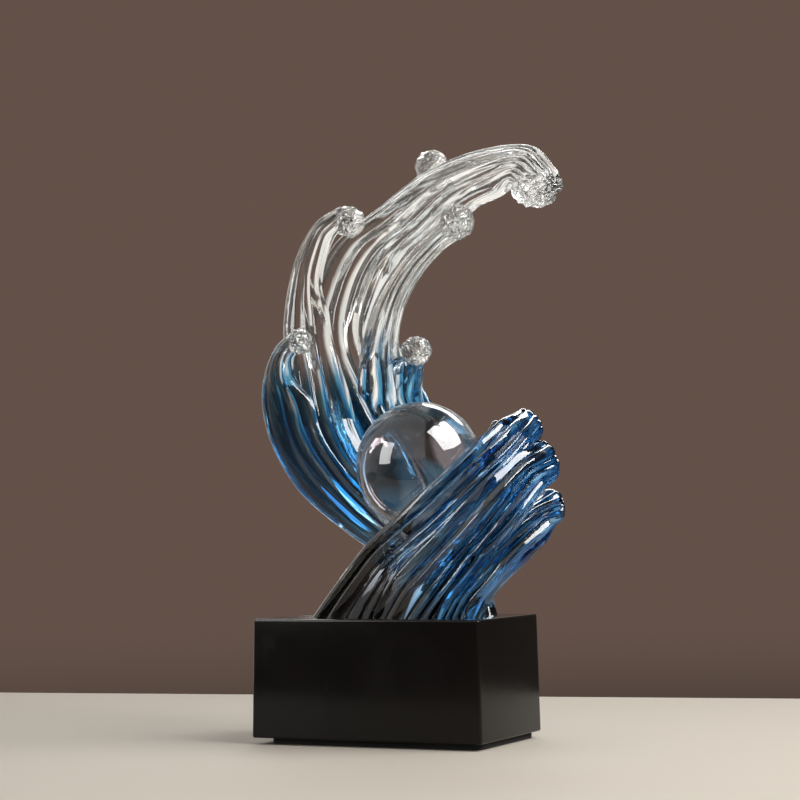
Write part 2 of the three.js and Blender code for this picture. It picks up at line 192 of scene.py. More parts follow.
class Effect:
    """A shader node group that several finishes place, each with values of its own."""

    def __init__(self, name: str, inputs: dict[str, Kind], outputs: dict[str, Kind]) -> None:
        """Makes the empty group.

        Args:
            name: The group's name.
            inputs: Kinds of its inputs by name.
            outputs: Kinds of its outputs by name.
        """
        self.tree = bpy.data.node_groups.new(name, "ShaderNodeTree")
        for way, sockets in (("INPUT", inputs), ("OUTPUT", outputs)):
            for label, kind in sockets.items():
                self.tree.interface.new_socket(name=label, in_out=way, socket_type=kind.value)
        self.sheet = NodeSheet(self.tree)
        self.entry = self.tree.nodes.new("NodeGroupInput").outputs
        self.exit = self.tree.nodes.new("NodeGroupOutput").inputs

    def place(self, sheet: NodeSheet, **sources: object) -> dict[str, Socket]:
        """Puts the group into a material, with a source for each input, and gives its outputs by name."""
        node = sheet.add("Group", sources, node_tree=self.tree)
        return {socket.name: socket for socket in node.outputs}


class HandlingMarks(Effect):
    """Faint smears and specks that a surface gathers when it is wiped and handled."""

    SMEAR = (0.42, 0.68)
    SPECKS_PER_SMEAR = 14.0

    def __init__(self) -> None:
        """Builds the group, which turns a place into a roughness."""
        super().__init__(
            "handling_marks",
            {"Place": Kind.VECTOR, "Scale": Kind.VALUE, "Smooth": Kind.VALUE, "Smeared": Kind.VALUE},
            {"Roughness": Kind.VALUE},
        )
        sheet, entry = self.sheet, self.entry
        smear = sheet.noise(entry["Place"], entry["Scale"], detail=5.0, stir=0.6)
        finer = sheet.math("MULTIPLY", entry["Scale"], self.SPECKS_PER_SMEAR)
        speck = sheet.noise(entry["Place"], finer, detail=2.0)
        marked = sheet.math("MULTIPLY", sheet.share(smear, *self.SMEAR), speck)
        reach = sheet.math("SUBTRACT", entry["Smeared"], entry["Smooth"])
        rough = sheet.math("ADD", entry["Smooth"], sheet.math("MULTIPLY", marked, reach))
        sheet.feed(self.exit["Roughness"], rough)


class FlowStreaks(Effect):
    """Streaks and wisps, drawn out along the flow of the resin."""

    STREAK = (0.36, 0.64)
    WISP = (0.46, 0.70)
    WISPS_PER_STREAK = 2.6

    def __init__(self) -> None:
        """Builds the group, which turns a place in the flow into two masks."""
        super().__init__(
            "flow_streaks",
            {"Flow": Kind.VECTOR, "Length": Kind.VALUE, "Width": Kind.VALUE},
            {"Streaks": Kind.VALUE, "Wisps": Kind.VALUE},
        )
        sheet, entry = self.sheet, self.entry
        grain = sheet.add("CombineXYZ", {0: entry["Length"], 1: entry["Width"], 2: entry["Width"]})
        place = sheet.vector("DIVIDE", entry["Flow"], grain.outputs[0], result="Vector")
        streak = sheet.noise(place, 1.0, detail=3.0, stir=0.3)
        wisp = sheet.noise(place, self.WISPS_PER_STREAK, detail=2.0, stir=1.2)
        sheet.feed(self.exit["Streaks"], sheet.share(streak, *self.STREAK))
        sheet.feed(self.exit["Wisps"], sheet.share(wisp, *self.WISP))


class DyeAndGrooveShade(Effect):
    """Dye in cast resin: clear where there is none, then blue, and deep blue where it gathers; in dyed resin
    the grooves are pushed to deep blue as painted shade.
    """

    # The last of these thickens the dye in the grooves, as painted shade.
    EVEN, BY_STREAK, BY_VALLEY = 0.16, 1.05, 0.45
    BLUE = (0.10, 0.75)
    DEEP = (0.75, 1.60)
    # Painted shade: the valley mask, from part way down a groove's sides to its bottom.
    VALLEY = (0.80, 0.30)
    # Painted shade: how far the grooves of dyed resin are pushed towards deep blue.
    VALLEY_SHADE_LINE = 0.75

    def __init__(self) -> None:
        """Builds the group, which turns the share of dye, the flow's masks and the grooves' painted shade
        into a colour.
        """
        masks = ("Dye", "Streaks", "Wisps", "Ridge")
        colours = ("Clear", "Blue", "Deep")
        super().__init__(
            "resin_dye_and_groove_shade",
            {name: Kind.VALUE for name in masks} | {name: Kind.COLOUR for name in colours},
            {"Colour": Kind.COLOUR},
        )
        sheet, entry = self.sheet, self.entry
        valley_shade = sheet.share(entry["Ridge"], *self.VALLEY)
        streak = sheet.math("MULTIPLY", entry["Streaks"], self.BY_STREAK)
        lean = sheet.math("ADD", sheet.math("MULTIPLY", valley_shade, self.BY_VALLEY), streak)
        amount = sheet.math("MULTIPLY", entry["Dye"], sheet.math("ADD", lean, self.EVEN))
        gathered_and_shaded = sheet.math("ADD", amount, sheet.math("MULTIPLY", entry["Wisps"], entry["Dye"]))
        # Painted shade: the grooves go deeper blue than the dye alone would make them.
        gathered_and_shaded = sheet.math("ADD", gathered_and_shaded, sheet.math("MULTIPLY", valley_shade, self.VALLEY_SHADE_LINE))
        colour = sheet.blend(sheet.share(amount, *self.BLUE), entry["Clear"], entry["Blue"])
        colour = sheet.blend(sheet.share(gathered_and_shaded, *self.DEEP), colour, entry["Deep"])
        sheet.feed(self.exit["Colour"], colour)


@dataclass
class Effects:
    """The effects that the finishes share."""

    marks: HandlingMarks = field(default_factory=HandlingMarks)
    streaks: FlowStreaks = field(default_factory=FlowStreaks)
    dye: DyeAndGrooveShade = field(default_factory=DyeAndGrooveShade)


def new_material(name: str) -> tuple[Material, bpy.types.Node]:
    """Makes a material.

    Args:
        name: The material's name.

    Returns:
        The material and its shader.
    """
    material = bpy.data.materials.new(name)
    material.use_nodes = True
    return material, material.node_tree.nodes["Principled BSDF"]


class FinishSheet(NodeSheet):
    """A finish's nodes, with the place on the piece, in metres, and the shared effects."""

    def __init__(self, tree: bpy.types.NodeTree, effects: Effects) -> None:
        """Adds the place.

        Args:
            tree: The tree that the nodes go into.
            effects: The shared effects.
        """
        super().__init__(tree)
        self.effects = effects
        self.place = self.add("TexCoord").outputs["Object"]


@dataclass(frozen=True, kw_only=True)
class Finish:
    """A surface that gathers handling marks."""

    name: str
    smooth: float
    smeared: float
    marks_per_metre: float

    def material(self, effects: Effects) -> Material:
        """Builds the material.

        Args:
            effects: The shared effects.

        Returns:
            The material.
        """
        material, shader = new_material(self.name)
        sheet = FinishSheet(material.node_tree, effects)
        marks = effects.marks.place(
            sheet,
            Place=sheet.place,
            Scale=self.marks_per_metre,
            Smooth=self.smooth,
            Smeared=self.smeared,
        )
        sheet.feed(shader.inputs["Roughness"], marks["Roughness"])
        for label, source in self.looks(sheet).items():
            sheet.feed(shader.inputs[label], source)
        return material

    def looks(self, sheet: FinishSheet) -> dict[str, object]:
        """What the shader gets beside the marks, by the names of its sockets."""
        raise NotImplementedError(f"{self.name} on {sheet}")


@dataclass(frozen=True, kw_only=True)
class ResinFinish(Finish):
    """Cast resin whose dye thickens along one way through the piece, with a hollow for the ball. The
    hollow's face is painted darker as shade, and a dark colour at the foot is painted shade too.
    """

    clear: Colour
    pale: Colour
    blue: Colour
    # Deep blue where the dye gathers, and the painted shade in dyed grooves.
    deep: Colour
    # Colour towards the foot: a pale tint on one wave, painted shade on the other, where it is near-black.
    foot: Colour
    # Painted shade on the face of the ball's hollow.
    hollow: Colour
    foot_span: Span
    dye_way: Point
    dye_span: Span
    dye_strength: float
    foot_dye: float
    streak_length: float = 60.0
    streak_width: float = 5.0
    ior: float = 1.5
    smooth: float = 0.015
    smeared: float = 0.09
    marks_per_metre: float = 40.0
    ripple: float = 0.05

    RIPPLE_HEIGHT = 0.4 * MM
    BALL_MIDDLE = (0.0125, 0.002, 0.1284)
    # Distances from the ball's middle over which the painted shade on the hollow's face gives way to the
    # resin.
    HOLLOW_SHADE_FACE = (0.0305, 0.0330)
    HOLLOW = (0.0305, 0.0370)

    def looks(self, sheet: FinishSheet) -> dict[str, object]:
        """Dyes the resin along its flow, and paints shade on the hollow's face and in the grooves.

        Args:
            sheet: The material's nodes.

        Returns:
            What the shader gets beside the marks, by the names of its sockets.
        """
        flow = sheet.add("Attribute", attribute_name="flow").outputs["Vector"]
        ridge = sheet.add("Attribute", attribute_name="ridge").outputs["Fac"]
        along = sheet.vector("DOT_PRODUCT", sheet.place, self.dye_way)
        height = sheet.vector("DOT_PRODUCT", sheet.place, UP)
        from_ball = sheet.vector("DISTANCE", sheet.place, self.BALL_MIDDLE)
        risen = sheet.share(height, *self.foot_span)
        thinned = sheet.math("ADD", sheet.math("MULTIPLY", risen, 1 - self.foot_dye), self.foot_dye)
        dyed = sheet.math("MULTIPLY", sheet.share(along, *self.dye_span), self.dye_strength)
        dyed = sheet.math("MULTIPLY", dyed, sheet.share(from_ball, *self.HOLLOW))
        masks = sheet.effects.streaks.place(
            sheet, Flow=flow, Length=self.streak_length, Width=self.streak_width
        )
        above = sheet.blend(masks["Streaks"], opaque(self.clear), opaque(self.pale))
        # Towards the foot the colour turns to the foot colour, which on the front wave is near-black painted
        # shade.
        undyed = sheet.blend(risen, opaque(self.foot), above)
        dye = sheet.effects.dye.place(
            sheet,
            Dye=sheet.math("MULTIPLY", dyed, thinned),
            Ridge=ridge,
            # Painted shade: the face of the ball's hollow takes the hollow colour.
            Clear=sheet.blend(sheet.share(from_ball, *self.HOLLOW_SHADE_FACE), opaque(self.hollow), undyed),
            Blue=opaque(self.blue),
            Deep=opaque(self.deep),
            **masks,
        )
        return {
            "Base Color": dye["Colour"],
            "Normal": sheet.bump(masks["Wisps"], self.ripple, self.RIPPLE_HEIGHT),
            "IOR": self.ior,
            "Transmission Weight": 1.0,
        }


@dataclass(frozen=True, kw_only=True)
class CrackleFinish(Finish):
    """Clear resin that was crackled: facets with sunken lines between them, and painted dark glints,
    reflections laid into the colour at random.
    """

    clear: Colour
    # The colour of the painted dark glints.
    painted_glint: Colour
    cracks_per_metre: float = 420.0
    smooth: float = 0.01
    smeared: float = 0.12
    marks_per_metre: float = 420.0
    ior: float = 1.5

    CRACK = (0.0, 0.12)
    CRACK_STRENGTH = 0.6
    CRACK_HEIGHT = 0.6 * MM
    # Painted reflection: how much of the surface the dark glints cover.
    PAINTED_GLINT = (0.56, 0.64)

    def looks(self, sheet: FinishSheet) -> dict[str, object]:
        """Breaks the surface into facets, and paints dark glints into its colour.

        Args:
            sheet: The material's nodes.

        Returns:
            What the shader gets beside the marks, by the names of its sockets.
        """
        feeds = {"Vector": sheet.place, "Scale": self.cracks_per_metre}
        cells = sheet.add("TexVoronoi", feeds, feature="DISTANCE_TO_EDGE")
        facet = sheet.share(cells.outputs["Distance"], *self.CRACK)
        # Painted reflection: dark glints scattered at random.
        glint_share = sheet.share(sheet.noise(sheet.place, self.cracks_per_metre, detail=2.0), *self.PAINTED_GLINT)
        return {
            "Base Color": sheet.blend(glint_share, opaque(self.clear), opaque(self.painted_glint)),
            "Normal": sheet.bump(facet, self.CRACK_STRENGTH, self.CRACK_HEIGHT),
            "IOR": self.ior,
            "Transmission Weight": 1.0,
        }


@dataclass(frozen=True, kw_only=True)
class GlassFinish(Finish):
    """Polished glass with faint clouds and smears."""

    tint: Colour
    cloud_tint: Colour
    ior: float = 1.52
    smooth: float = 0.0
    smeared: float = 0.05
    marks_per_metre: float = 30.0

    def looks(self, sheet: FinishSheet) -> dict[str, object]:
        """Tints the glass.

        Args:
            sheet: The material's nodes.

        Returns:
            What the shader gets beside the marks, by the names of its sockets.
        """
        cloud = sheet.noise(sheet.place, self.marks_per_metre, detail=2.0)
        return {
            "Base Color": sheet.blend(cloud, opaque(self.tint), opaque(self.cloud_tint)),
            "IOR": self.ior,
            "Transmission Weight": 1.0,
        }


@dataclass(frozen=True, kw_only=True)
class PaintFinish(Finish):
    """An opaque surface with cloudy colour, worn edges and a grain in it."""

    colour: Colour
    worn: Colour
    grain_per_metre: float
    grain_height: float
    marks_per_metre: float = 25.0
    metallic: float = 0.0
    coat: float = 0.0
    coat_roughness: float = 0.1
    shine: float = 0.5

    CLOUD = (0.35, 0.75)
    CLOUD_WEAR = 0.5
    GRAIN_STRENGTH = 0.5

    def looks(self, sheet: FinishSheet) -> dict[str, object]:
        """Lays the colour on, and wears it along the edges and in clouds.

        Args:
            sheet: The material's nodes.

        Returns:
            What the shader gets beside the marks, by the names of its sockets.
        """
        edge = sheet.add("Attribute", attribute_name="edge").outputs["Fac"]
        cloud = sheet.share(sheet.noise(sheet.place, self.marks_per_metre, detail=4.0), *self.CLOUD)
        wear = sheet.math("MAXIMUM", edge, sheet.math("MULTIPLY", cloud, self.CLOUD_WEAR))
        grain = sheet.noise(sheet.place, self.grain_per_metre, detail=3.0)
        return {
            "Base Color": sheet.blend(wear, opaque(self.colour), opaque(self.worn)),
            "Normal": sheet.bump(grain, self.GRAIN_STRENGTH, self.grain_height),
            "Metallic": self.metallic,
            "Specular IOR Level": self.shine,
            "Coat Weight": self.coat,
            "Coat Roughness": self.coat_roughness,
        }


REAR_RESIN = ResinFinish(
    name="clear_to_blue_resin",
    clear=(0.985, 0.975, 0.96),
    pale=(0.82, 0.87, 0.89),
    blue=(0.030, 0.25, 0.50),
    deep=(0.007, 0.09, 0.26),
    # The rear wave's own pale blue tint towards its foot.
    foot=(0.42, 0.72, 0.92),
    # Painted shade: near-black on the face of the ball's hollow.
    hollow=(0.07, 0.05, 0.055),
    foot_span=(0.085, 0.140),
    dye_way=(0.25, -0.5, -1.0),
    dye_span=(-0.217, -0.112),
    dye_strength=2.9,
    foot_dye=0.10,
)
FRONT_RESIN = ResinFinish(
    name="deep_blue_resin",
    clear=(0.58, 0.58, 0.60),
    pale=(0.36, 0.42, 0.50),
    blue=(0.11, 0.37, 0.69),
    deep=(0.006, 0.058, 0.19),
    # Painted shade: near-black towards the foot.
    foot=(0.050, 0.051, 0.056),
    # Painted shade: grey on the face of the ball's hollow.
    hollow=(0.52, 0.53, 0.56),
    foot_span=(0.066, 0.122),
    dye_way=(1.0, 0.0, 0.3),
    dye_span=(0.014, 0.108),
    dye_strength=1.65,
    foot_dye=0.8,
    streak_length=70.0,
    streak_width=7.0,
)
BEAD_CRYSTAL = CrackleFinish(name="crackled_crystal", clear=(0.99, 0.99, 0.985), painted_glint=(0.36, 0.38, 0.375))
# Painted shade: an opaque near-black coat on the faces that sit on and in the plinth, which hides the tenon
# and its inserts.
FOOT_SHADE_COAT = PaintFinish(
    name="painted_shade_foot_coat",
    colour=(0.006, 0.007, 0.009),
    worn=(0.012, 0.013, 0.015),
    smooth=0.35,
    smeared=0.6,
    grain_per_metre=900.0,
    grain_height=0.05 * MM,
)
BALL_GLASS = GlassFinish(name="ball_glass", tint=(0.975, 0.985, 0.99), cloud_tint=(0.93, 0.965, 0.985))
PLINTH_LACQUER = PaintFinish(
    name="black_lacquer",
    colour=(0.0055, 0.0042, 0.0034),
    worn=(0.012, 0.010, 0.0085),
    smooth=0.12,
    smeared=0.24,
    grain_per_metre=500.0,
    grain_height=0.008 * MM,
    coat=0.05,
    coat_roughness=0.12,
    shine=0.15,
)
PAD_FOAM = PaintFinish(
    name="black_foam",
    colour=(0.006, 0.006, 0.006),
    worn=(0.014, 0.014, 0.014),
    smooth=0.85,
    smeared=0.98,
    grain_per_metre=1500.0,
    grain_height=0.3 * MM,
)
SCREW_STEEL = PaintFinish(
    name="zinc_steel",
    colour=(0.50, 0.51, 0.52),
    worn=(0.62, 0.62, 0.61),
    smooth=0.28,
    smeared=0.45,
    grain_per_metre=2500.0,
    grain_height=0.02 * MM,
    marks_per_metre=180.0,
    metallic=1.0,
)
INSERT_BRASS = PaintFinish(
    name="brass",
    colour=(0.60, 0.42, 0.16),
    worn=(0.72, 0.54, 0.24),
    smooth=0.25,
    smeared=0.42,
    grain_per_metre=2500.0,
    grain_height=0.02 * MM,
    marks_per_metre=180.0,
    metallic=1.0,
)


def in_scene(name: str, mesh: bpy.types.Mesh, finishes: Iterable[Material]) -> Piece:
    """Makes an object of a mesh.

    Args:
        name: The object's name.
        mesh: The mesh.
        finishes: Its materials.

    Returns:
        The object, in the scene.
    """
    for finish in finishes:
        mesh.materials.append(finish)
    piece = bpy.data.objects.new(name, mesh)
    bpy.context.scene.collection.objects.link(piece)
    return piece


def new_piece(name: str, points: np.ndarray, faces: Faces, *finishes: Material) -> Piece:
    """Makes an object of points and faces.

    Args:
        name: The object's name.
        points: Its points, in metres.
        faces: Its faces, as rows of point numbers.
        finishes: Its materials.

    Returns:
        The object, in the scene.
    """
    mesh = bpy.data.meshes.new(name)
    mesh.from_pydata(points.tolist(), [], faces)
    return in_scene(name, mesh, finishes)


def shell_piece(name: str, shell: bmesh.types.BMesh, finishes: Iterable[Material]) -> Piece:
    """Makes an object of a shell of faces, and frees the shell.

    Args:
        name: The object's name.
        shell: The shell.
        finishes: Its materials.

    Returns:
        The object, in the scene.
    """
    mesh = bpy.data.meshes.new(name)
    shell.to_mesh(mesh)
    shell.free()
    return in_scene(name, mesh, finishes)


def combine(piece: Piece, others: list[Piece], cut: Cut) -> None:
    """Joins other closed meshes to a piece, or cuts them out of it, and deletes them.

    Args:
        piece: The piece that keeps the result.
        others: The meshes to join or cut.
        cut: Which of the two.
    """
    for other in others:
        step = piece.modifiers.new(other.name, "BOOLEAN")
        step.object = other
        step.operation = cut.value
        step.solver = "MANIFOLD"
    graph = bpy.context.evaluated_depsgraph_get()
    result = bpy.data.meshes.new_from_object(piece.evaluated_get(graph))
    piece.modifiers.clear()
    spent = [piece.data] + [other.data for other in others]
    piece.data = result
    for other in others:
        bpy.data.objects.remove(other)
    for mesh in spent:
        bpy.data.meshes.remove(mesh)


def skin_faces(rows: int, columns: int) -> Faces:
    """Faces over closed rings of points, with a fan from one more point over each end.

    Args:
        rows: How many rings.
        columns: Points in a ring.

    Returns:
        The faces. The fans' middle points come after the rings' points, the first end's first.
    """
    faces = []
    for row in range(rows - 1):
        for j in range(columns):
            a = row * columns + j
            b = row * columns + (j + 1) % columns
            faces.append((a, b, b + columns, a + columns))
    first, last = rows * columns, rows * columns + 1
    end = (rows - 1) * columns
    for j in range(columns):
        following = (j + 1) % columns
        faces.append((first, following, j))
        faces.append((last, end + j, end + following))
    return faces


def travelled(points: np.ndarray) -> np.ndarray:
    """How far along a line of points each one lies."""
    return np.concatenate([[0], np.cumsum(np.linalg.norm(np.diff(points, axis=0), axis=1))])


def of_length_one(vectors: np.ndarray) -> np.ndarray:
    """The vectors, a row each, brought to a length of 1."""
    return vectors / np.linalg.norm(vectors, axis=1)[:, None]


def smooth_path(points: np.ndarray, places: np.ndarray) -> np.ndarray:
    """A centripetal curve through points.

    Args:
        points: The points, a row each.
        places: Where along the curve, counted in points from the first.

    Returns:
        The curve's points at those places.
    """
    index = np.clip(np.floor(places).astype(int), 0, len(points) - 2)
    share = (places - index)[:, None]
    line = np.vstack([2 * points[0] - points[1], points, 2 * points[-1] - points[-2]])
    p0, p1, p2, p3 = (line[index + k] for k in range(4))
    d0, d1, d2 = (np.linalg.norm(b - a, axis=1)[:, None] ** 0.5 for a, b in ((p0, p1), (p1, p2), (p2, p3)))
    start = ((p1 - p0) / d0 - (p2 - p0) / (d0 + d1) + (p2 - p1) / d1) * d1
    end = ((p2 - p1) / d1 - (p3 - p1) / (d1 + d2) + (p3 - p2) / d2) * d1
    square = -3 * p1 + 3 * p2 - 2 * start - end
    cube = 2 * p1 - 2 * p2 + start + end
    return p1 + start * share + square * share**2 + cube * share**3


def wrapped_noise(rng: np.random.Generator, shape: tuple[int, int], cells: tuple[int, int]) -> np.ndarray:
    """Smooth noise over rings of points, which closes round each ring.

    Args:
        rng: Where the random numbers come from.
        shape: How many rings, and points in a ring.
        cells: How many waves of noise along the rings and round them.

    Returns:
        The noise at each point, from -1 to 1.
    """
    lattice = rng.uniform(-1, 1, (cells[0] + 2, cells[1]))
    row = np.linspace(0, cells[0], shape[0])
    column = np.arange(shape[1]) * cells[1] / shape[1]
    i, j = np.floor(row).astype(int), np.floor(column).astype(int)
    u, v = row - i, column - j
    u, v = (u * u * (3 - 2 * u))[:, None], (v * v * (3 - 2 * v))[None, :]
    following = (j + 1) % cells[1]
    low = lattice[np.ix_(i, j)] * (1 - v) + lattice[np.ix_(i, following)] * v
    high = lattice[np.ix_(i + 1, j)] * (1 - v) + lattice[np.ix_(i + 1, following)] * v
    return low * (1 - u) + high * u


@dataclass(frozen=True)
class Station:
    """A place along a band: its two edges and its thickness, in millimetres from the plinth's top."""

    outer: Point
    inner: Point
    thickness: float


@dataclass(frozen=True)
class Relief:
    """What stands proud of a band or is cut into it, in millimetres and in shares."""

    groove: float
    rib: float
    lump: float
    tip_lump: float
    stray: float
    sharpness: float
    flatness: float = 0.0
    uneven: float = 0.0
    ring_step: float = 2.0
    points_per_reed: int = 18
    groove_limit: float = 0.36
    groove_swing: float = 0.4
    ribs_per_reed: int = 3
    ribbed_share: float = 0.35
    stray_length: float = 45.0
    lump_length: float = 16.0
    lumps_per_reed: int = 2
    tip_share: float = 0.2
    tip_groove: float = 0.5
    back_groove: float = 0.45
    back_from: Span = (-0.2, 0.6)
    seat_groove: float = 0.12
    seat_calm: Span = (32.0, 43.0)


@dataclass
class BandSkin:
    """A band's finished points, with what the finishes read at each."""

    points: np.ndarray
    faces: Faces
    flow: np.ndarray
    ridge: np.ndarray


@dataclass(frozen=True)
class Band:
    """A reeded band of resin through its stations, with a rounded tip past the last one."""

    reeds: int
    stations: tuple[Station, ...]
    depth: float = 1.0

    SQUARENESS = 2.4
    REED_SPREAD = 0.3
    SECTION_STEPS = 720
    PATH_STEPS = 60
    UNEVEN_WAVES = 3
    TIP_RINGS = 9
    TIP_END = 0.97

    def places(self, step: float) -> np.ndarray:
        """Evenly spaced places along the band.

        Args:
            step: The distance between them, in millimetres.

        Returns:
            The places, counted in stations.
        """
        fine = np.linspace(0, len(self.stations) - 1, self.PATH_STEPS * len(self.stations))
        middle = (self.edge("outer", fine) + self.edge("inner", fine)) / 2
        length = travelled(middle)
        return np.interp(np.linspace(0, length[-1], round(length[-1] / step)), length, fine)

    def edge(self, name: str, places: np.ndarray) -> np.ndarray:
        """Points along one edge, by its name in a station."""
        return smooth_path(np.array([getattr(s, name) for s in self.stations], float), places)

    def section(
        self, half_width: float, half_thickness: float, count: int
    ) -> tuple[np.ndarray, np.ndarray, np.ndarray]:
        """A rounded oblong section, whose reeds crowd from its edges on to its faces.

        Args:
            half_width: Half its width.
            half_thickness: Half its thickness.
            count: How many points, evenly spaced.

        Returns:
            The points, the way out at each, and each one's turn through the reeds.
        """
        turn = np.linspace(0, 2 * np.pi, self.SECTION_STEPS + 1)
        angle = turn + self.REED_SPREAD * np.sin(2 * turn)
        half = np.array([half_width, half_thickness])
        unit = np.stack([np.cos(angle), np.sin(angle)], axis=1)
        rim = half * np.sign(unit) * np.abs(unit) ** (2 / self.SQUARENESS)
        length = travelled(rim)
        wanted = np.arange(count) / count * length[-1]
        x, y, turned = (np.interp(wanted, length, values) for values in (rim[:, 0], rim[:, 1], turn))
        points = np.stack([x, y], axis=1)
        out = np.sign(points) * np.abs(points / half) ** (self.SQUARENESS - 1) / half
        return points, of_length_one(out), turned

    def skin(self, relief: Relief, rng: np.random.Generator, start: float, seat: Point) -> BandSkin:
        """The band's surface.

        Args:
            relief: The reeds, ribs and lumps.
            rng: Where the random numbers come from.
            start: The flow's place at the band's start, in millimetres.
            seat: The middle of the ball, round which the reeds fade out.

        Returns:
            The surface, in millimetres.
        """
        places = self.places(relief.ring_step)
        outer, inner = self.edge("outer", places), self.edge("inner", places)
        thick = np.array([(i, s.thickness) for i, s in enumerate(self.stations)], float)
        half_thickness = smooth_path(thick, places)[:, 1] / 2
        middle, half = (outer + inner) / 2, (inner - outer) / 2
        along = of_length_one(np.gradient(outer, axis=0) + np.gradient(inner, axis=0))
        angle = np.arange(1, self.TIP_RINGS + 1) / self.TIP_RINGS * self.TIP_END * np.pi / 2
        tip = middle[-1] + along[-1] * half_thickness[-1] * np.sin(angle)[:, None]
        middle = np.vstack([middle, tip])
        half = np.vstack([half, half[-1] * np.cos(angle)[:, None]])
        along = np.vstack([along, np.repeat(along[-1:], self.TIP_RINGS, axis=0)])
        half_thickness = np.concatenate([half_thickness, half_thickness[-1] * np.cos(angle)])
        half_width = np.linalg.norm(half, axis=1)
        across = half / half_width[:, None]
        normal = of_length_one(np.cross(along, across))
        travel = travelled(middle)

        rows, columns = len(middle), self.reeds * relief.points_per_reed
        sections = [self.section(w, t, columns) for w, t in zip(half_width, half_thickness)]
        rim, out, turn = (np.stack(values) for values in zip(*sections))
        backward = rim[:, :, 1] / half_thickness[:, None]
        cut, ridge = self.relief_cut(relief, rng, half_thickness, travel[-1], turn, backward)

        def placed(flat: np.ndarray) -> np.ndarray:
            """The places of points in their sections."""
            return middle[:, None] + across[:, None] * flat[:, :, :1] + normal[:, None] * flat[:, :, 1:]

        away = np.linalg.norm(placed(rim) - np.array(seat), axis=2)
        fade = np.interp(away, relief.seat_calm, (relief.seat_groove, 1.0))
        rim = rim - out * (cut * fade)[:, :, None]
        points = placed(rim)
        flow = np.concatenate([np.broadcast_to(travel[:, None, None], (rows, columns, 1)), rim], axis=2)
        ends = np.array([0, rows - 1])
        points = np.vstack([points.reshape(-1, 3), points[ends].mean(axis=1)])
        flow = np.vstack([flow.reshape(-1, 3), flow[ends].mean(axis=1)]) + np.array([start, 0, 0])
        ridge = np.concatenate([ridge.ravel(), [1.0, 1.0]])
        return BandSkin(points, skin_faces(rows, columns), flow, ridge)

    def relief_cut(
        self,
        relief: Relief,
        rng: np.random.Generator,
        half_thickness: np.ndarray,
        length: float,
        turn: np.ndarray,
        backward: np.ndarray,
    ) -> tuple[np.ndarray, np.ndarray]:
        """How deep the surface lies under the plain section.

        Args:
            relief: The reeds, ribs and lumps.
            rng: Where the random numbers come from.
            half_thickness: Half the band's thickness at each ring.
            length: The band's length.
            turn: Each point's turn through the reeds.
            backward: Each point's place from the front face, -1, to the back face, 1.

        Returns:
            The depth at each point, and the share of the ridge's height that is left there.
        """
        shape = turn.shape
        strays = max(2, round(length / relief.stray_length))
        lumps = max(2, round(length / relief.lump_length))
        turn = turn + relief.stray * wrapped_noise(rng, shape, (strays, self.reeds))
        turn = turn + relief.uneven * np.sin(self.UNEVEN_WAVES * turn + rng.uniform(0, 2 * np.pi))
        rounded = np.abs(np.cos(turn * self.reeds / 2)) ** (1 - relief.flatness)
        folded = 1 - 2 / np.pi * np.arccos(np.abs(np.cos(turn * self.reeds / 2)))
        ridge = rounded + (folded - rounded) * relief.sharpness
        rib = np.abs(np.cos(turn * self.reeds * relief.ribs_per_reed / 2))
        ribbed = np.clip(wrapped_noise(rng, shape, (strays, self.reeds)) + relief.ribbed_share, 0, 1)
        strength = 1 + relief.groove_swing * wrapped_noise(rng, shape, (strays, self.reeds))
        near_tip = np.linspace(1 - 1 / relief.tip_share, 1, shape[0]).clip(0)[:, None]
        groove = np.minimum(relief.groove, relief.groove_limit * half_thickness)[:, None]
        scale = groove / relief.groove
        groove = groove * np.interp(backward, relief.back_from, (1.0, relief.back_groove))
        groove = groove * (1 + (relief.tip_groove - 1) * near_tip)
        cut = groove * strength * self.depth * (1 - ridge)
        cut = cut + scale * relief.rib * (1 - rib) * ribbed
        fine = wrapped_noise(rng, shape, (lumps, self.reeds * relief.lumps_per_reed))
        coarse = wrapped_noise(rng, shape, (lumps // 2 + 1, self.reeds))
        cut = cut + scale * relief.lump * fine
        cut = cut + near_tip * scale * relief.tip_lump * coarse
        return cut, ridge


@dataclass(frozen=True)
class Bead:
    """A crackled crystal bead at a band's tip, in millimetres from the plinth's top."""

    centre: Point
    radius: float
    chips: int = 170
    roughness: float = 0.11
    stretch: float = 1.0
    nub: Point | None = None

    NUB_WIDTH = 0.4
    NUB_HEIGHT = 0.3
    SCATTER = 0.35
    DEEPEST_CHIP = 1.6

    def piece(self, name: str, base: float, rng: np.random.Generator, finishes: list[Material]) -> Piece:
        """Builds the bead's closed mesh.

        Args:
            name: The piece's name.
            base: The height of the plinth's top, in metres.
            rng: Where the random numbers come from.
            finishes: The wave's materials.

        Returns:
            The piece.
        """
        step = np.arange(self.chips) + 0.5
        height = 1 - 2 * step / self.chips
        turn = np.pi * (1 + math.sqrt(5)) * step
        flat = np.sqrt(1 - height**2)
        ways = np.stack([flat * np.cos(turn), flat * np.sin(turn), height], axis=1)
        ways = of_length_one(ways + rng.normal(0, self.SCATTER / math.sqrt(self.chips), ways.shape))
        shell = bmesh.new()
        for way in ways:
            shell.verts.new(way)
        bmesh.ops.convex_hull(shell, input=shell.verts)
        reach = 1 - self.roughness * rng.uniform(0, self.DEEPEST_CHIP, self.chips)
        if self.nub:
            facing = ways @ (np.array(self.nub) / np.linalg.norm(self.nub))
            reach += self.NUB_HEIGHT * np.exp(-((np.arccos(np.clip(facing, -1, 1)) / self.NUB_WIDTH) ** 2))
        for vert, share in zip(shell.verts, reach):
            reached = vert.co * float(share) * self.radius * MM
            reached.x *= self.stretch
            vert.co = Vector(self.centre) * MM + reached
            vert.co.z += base
        for face in shell.faces:
            face.material_index = Skin.BEAD.value
        return shell_piece(name, shell, finishes)


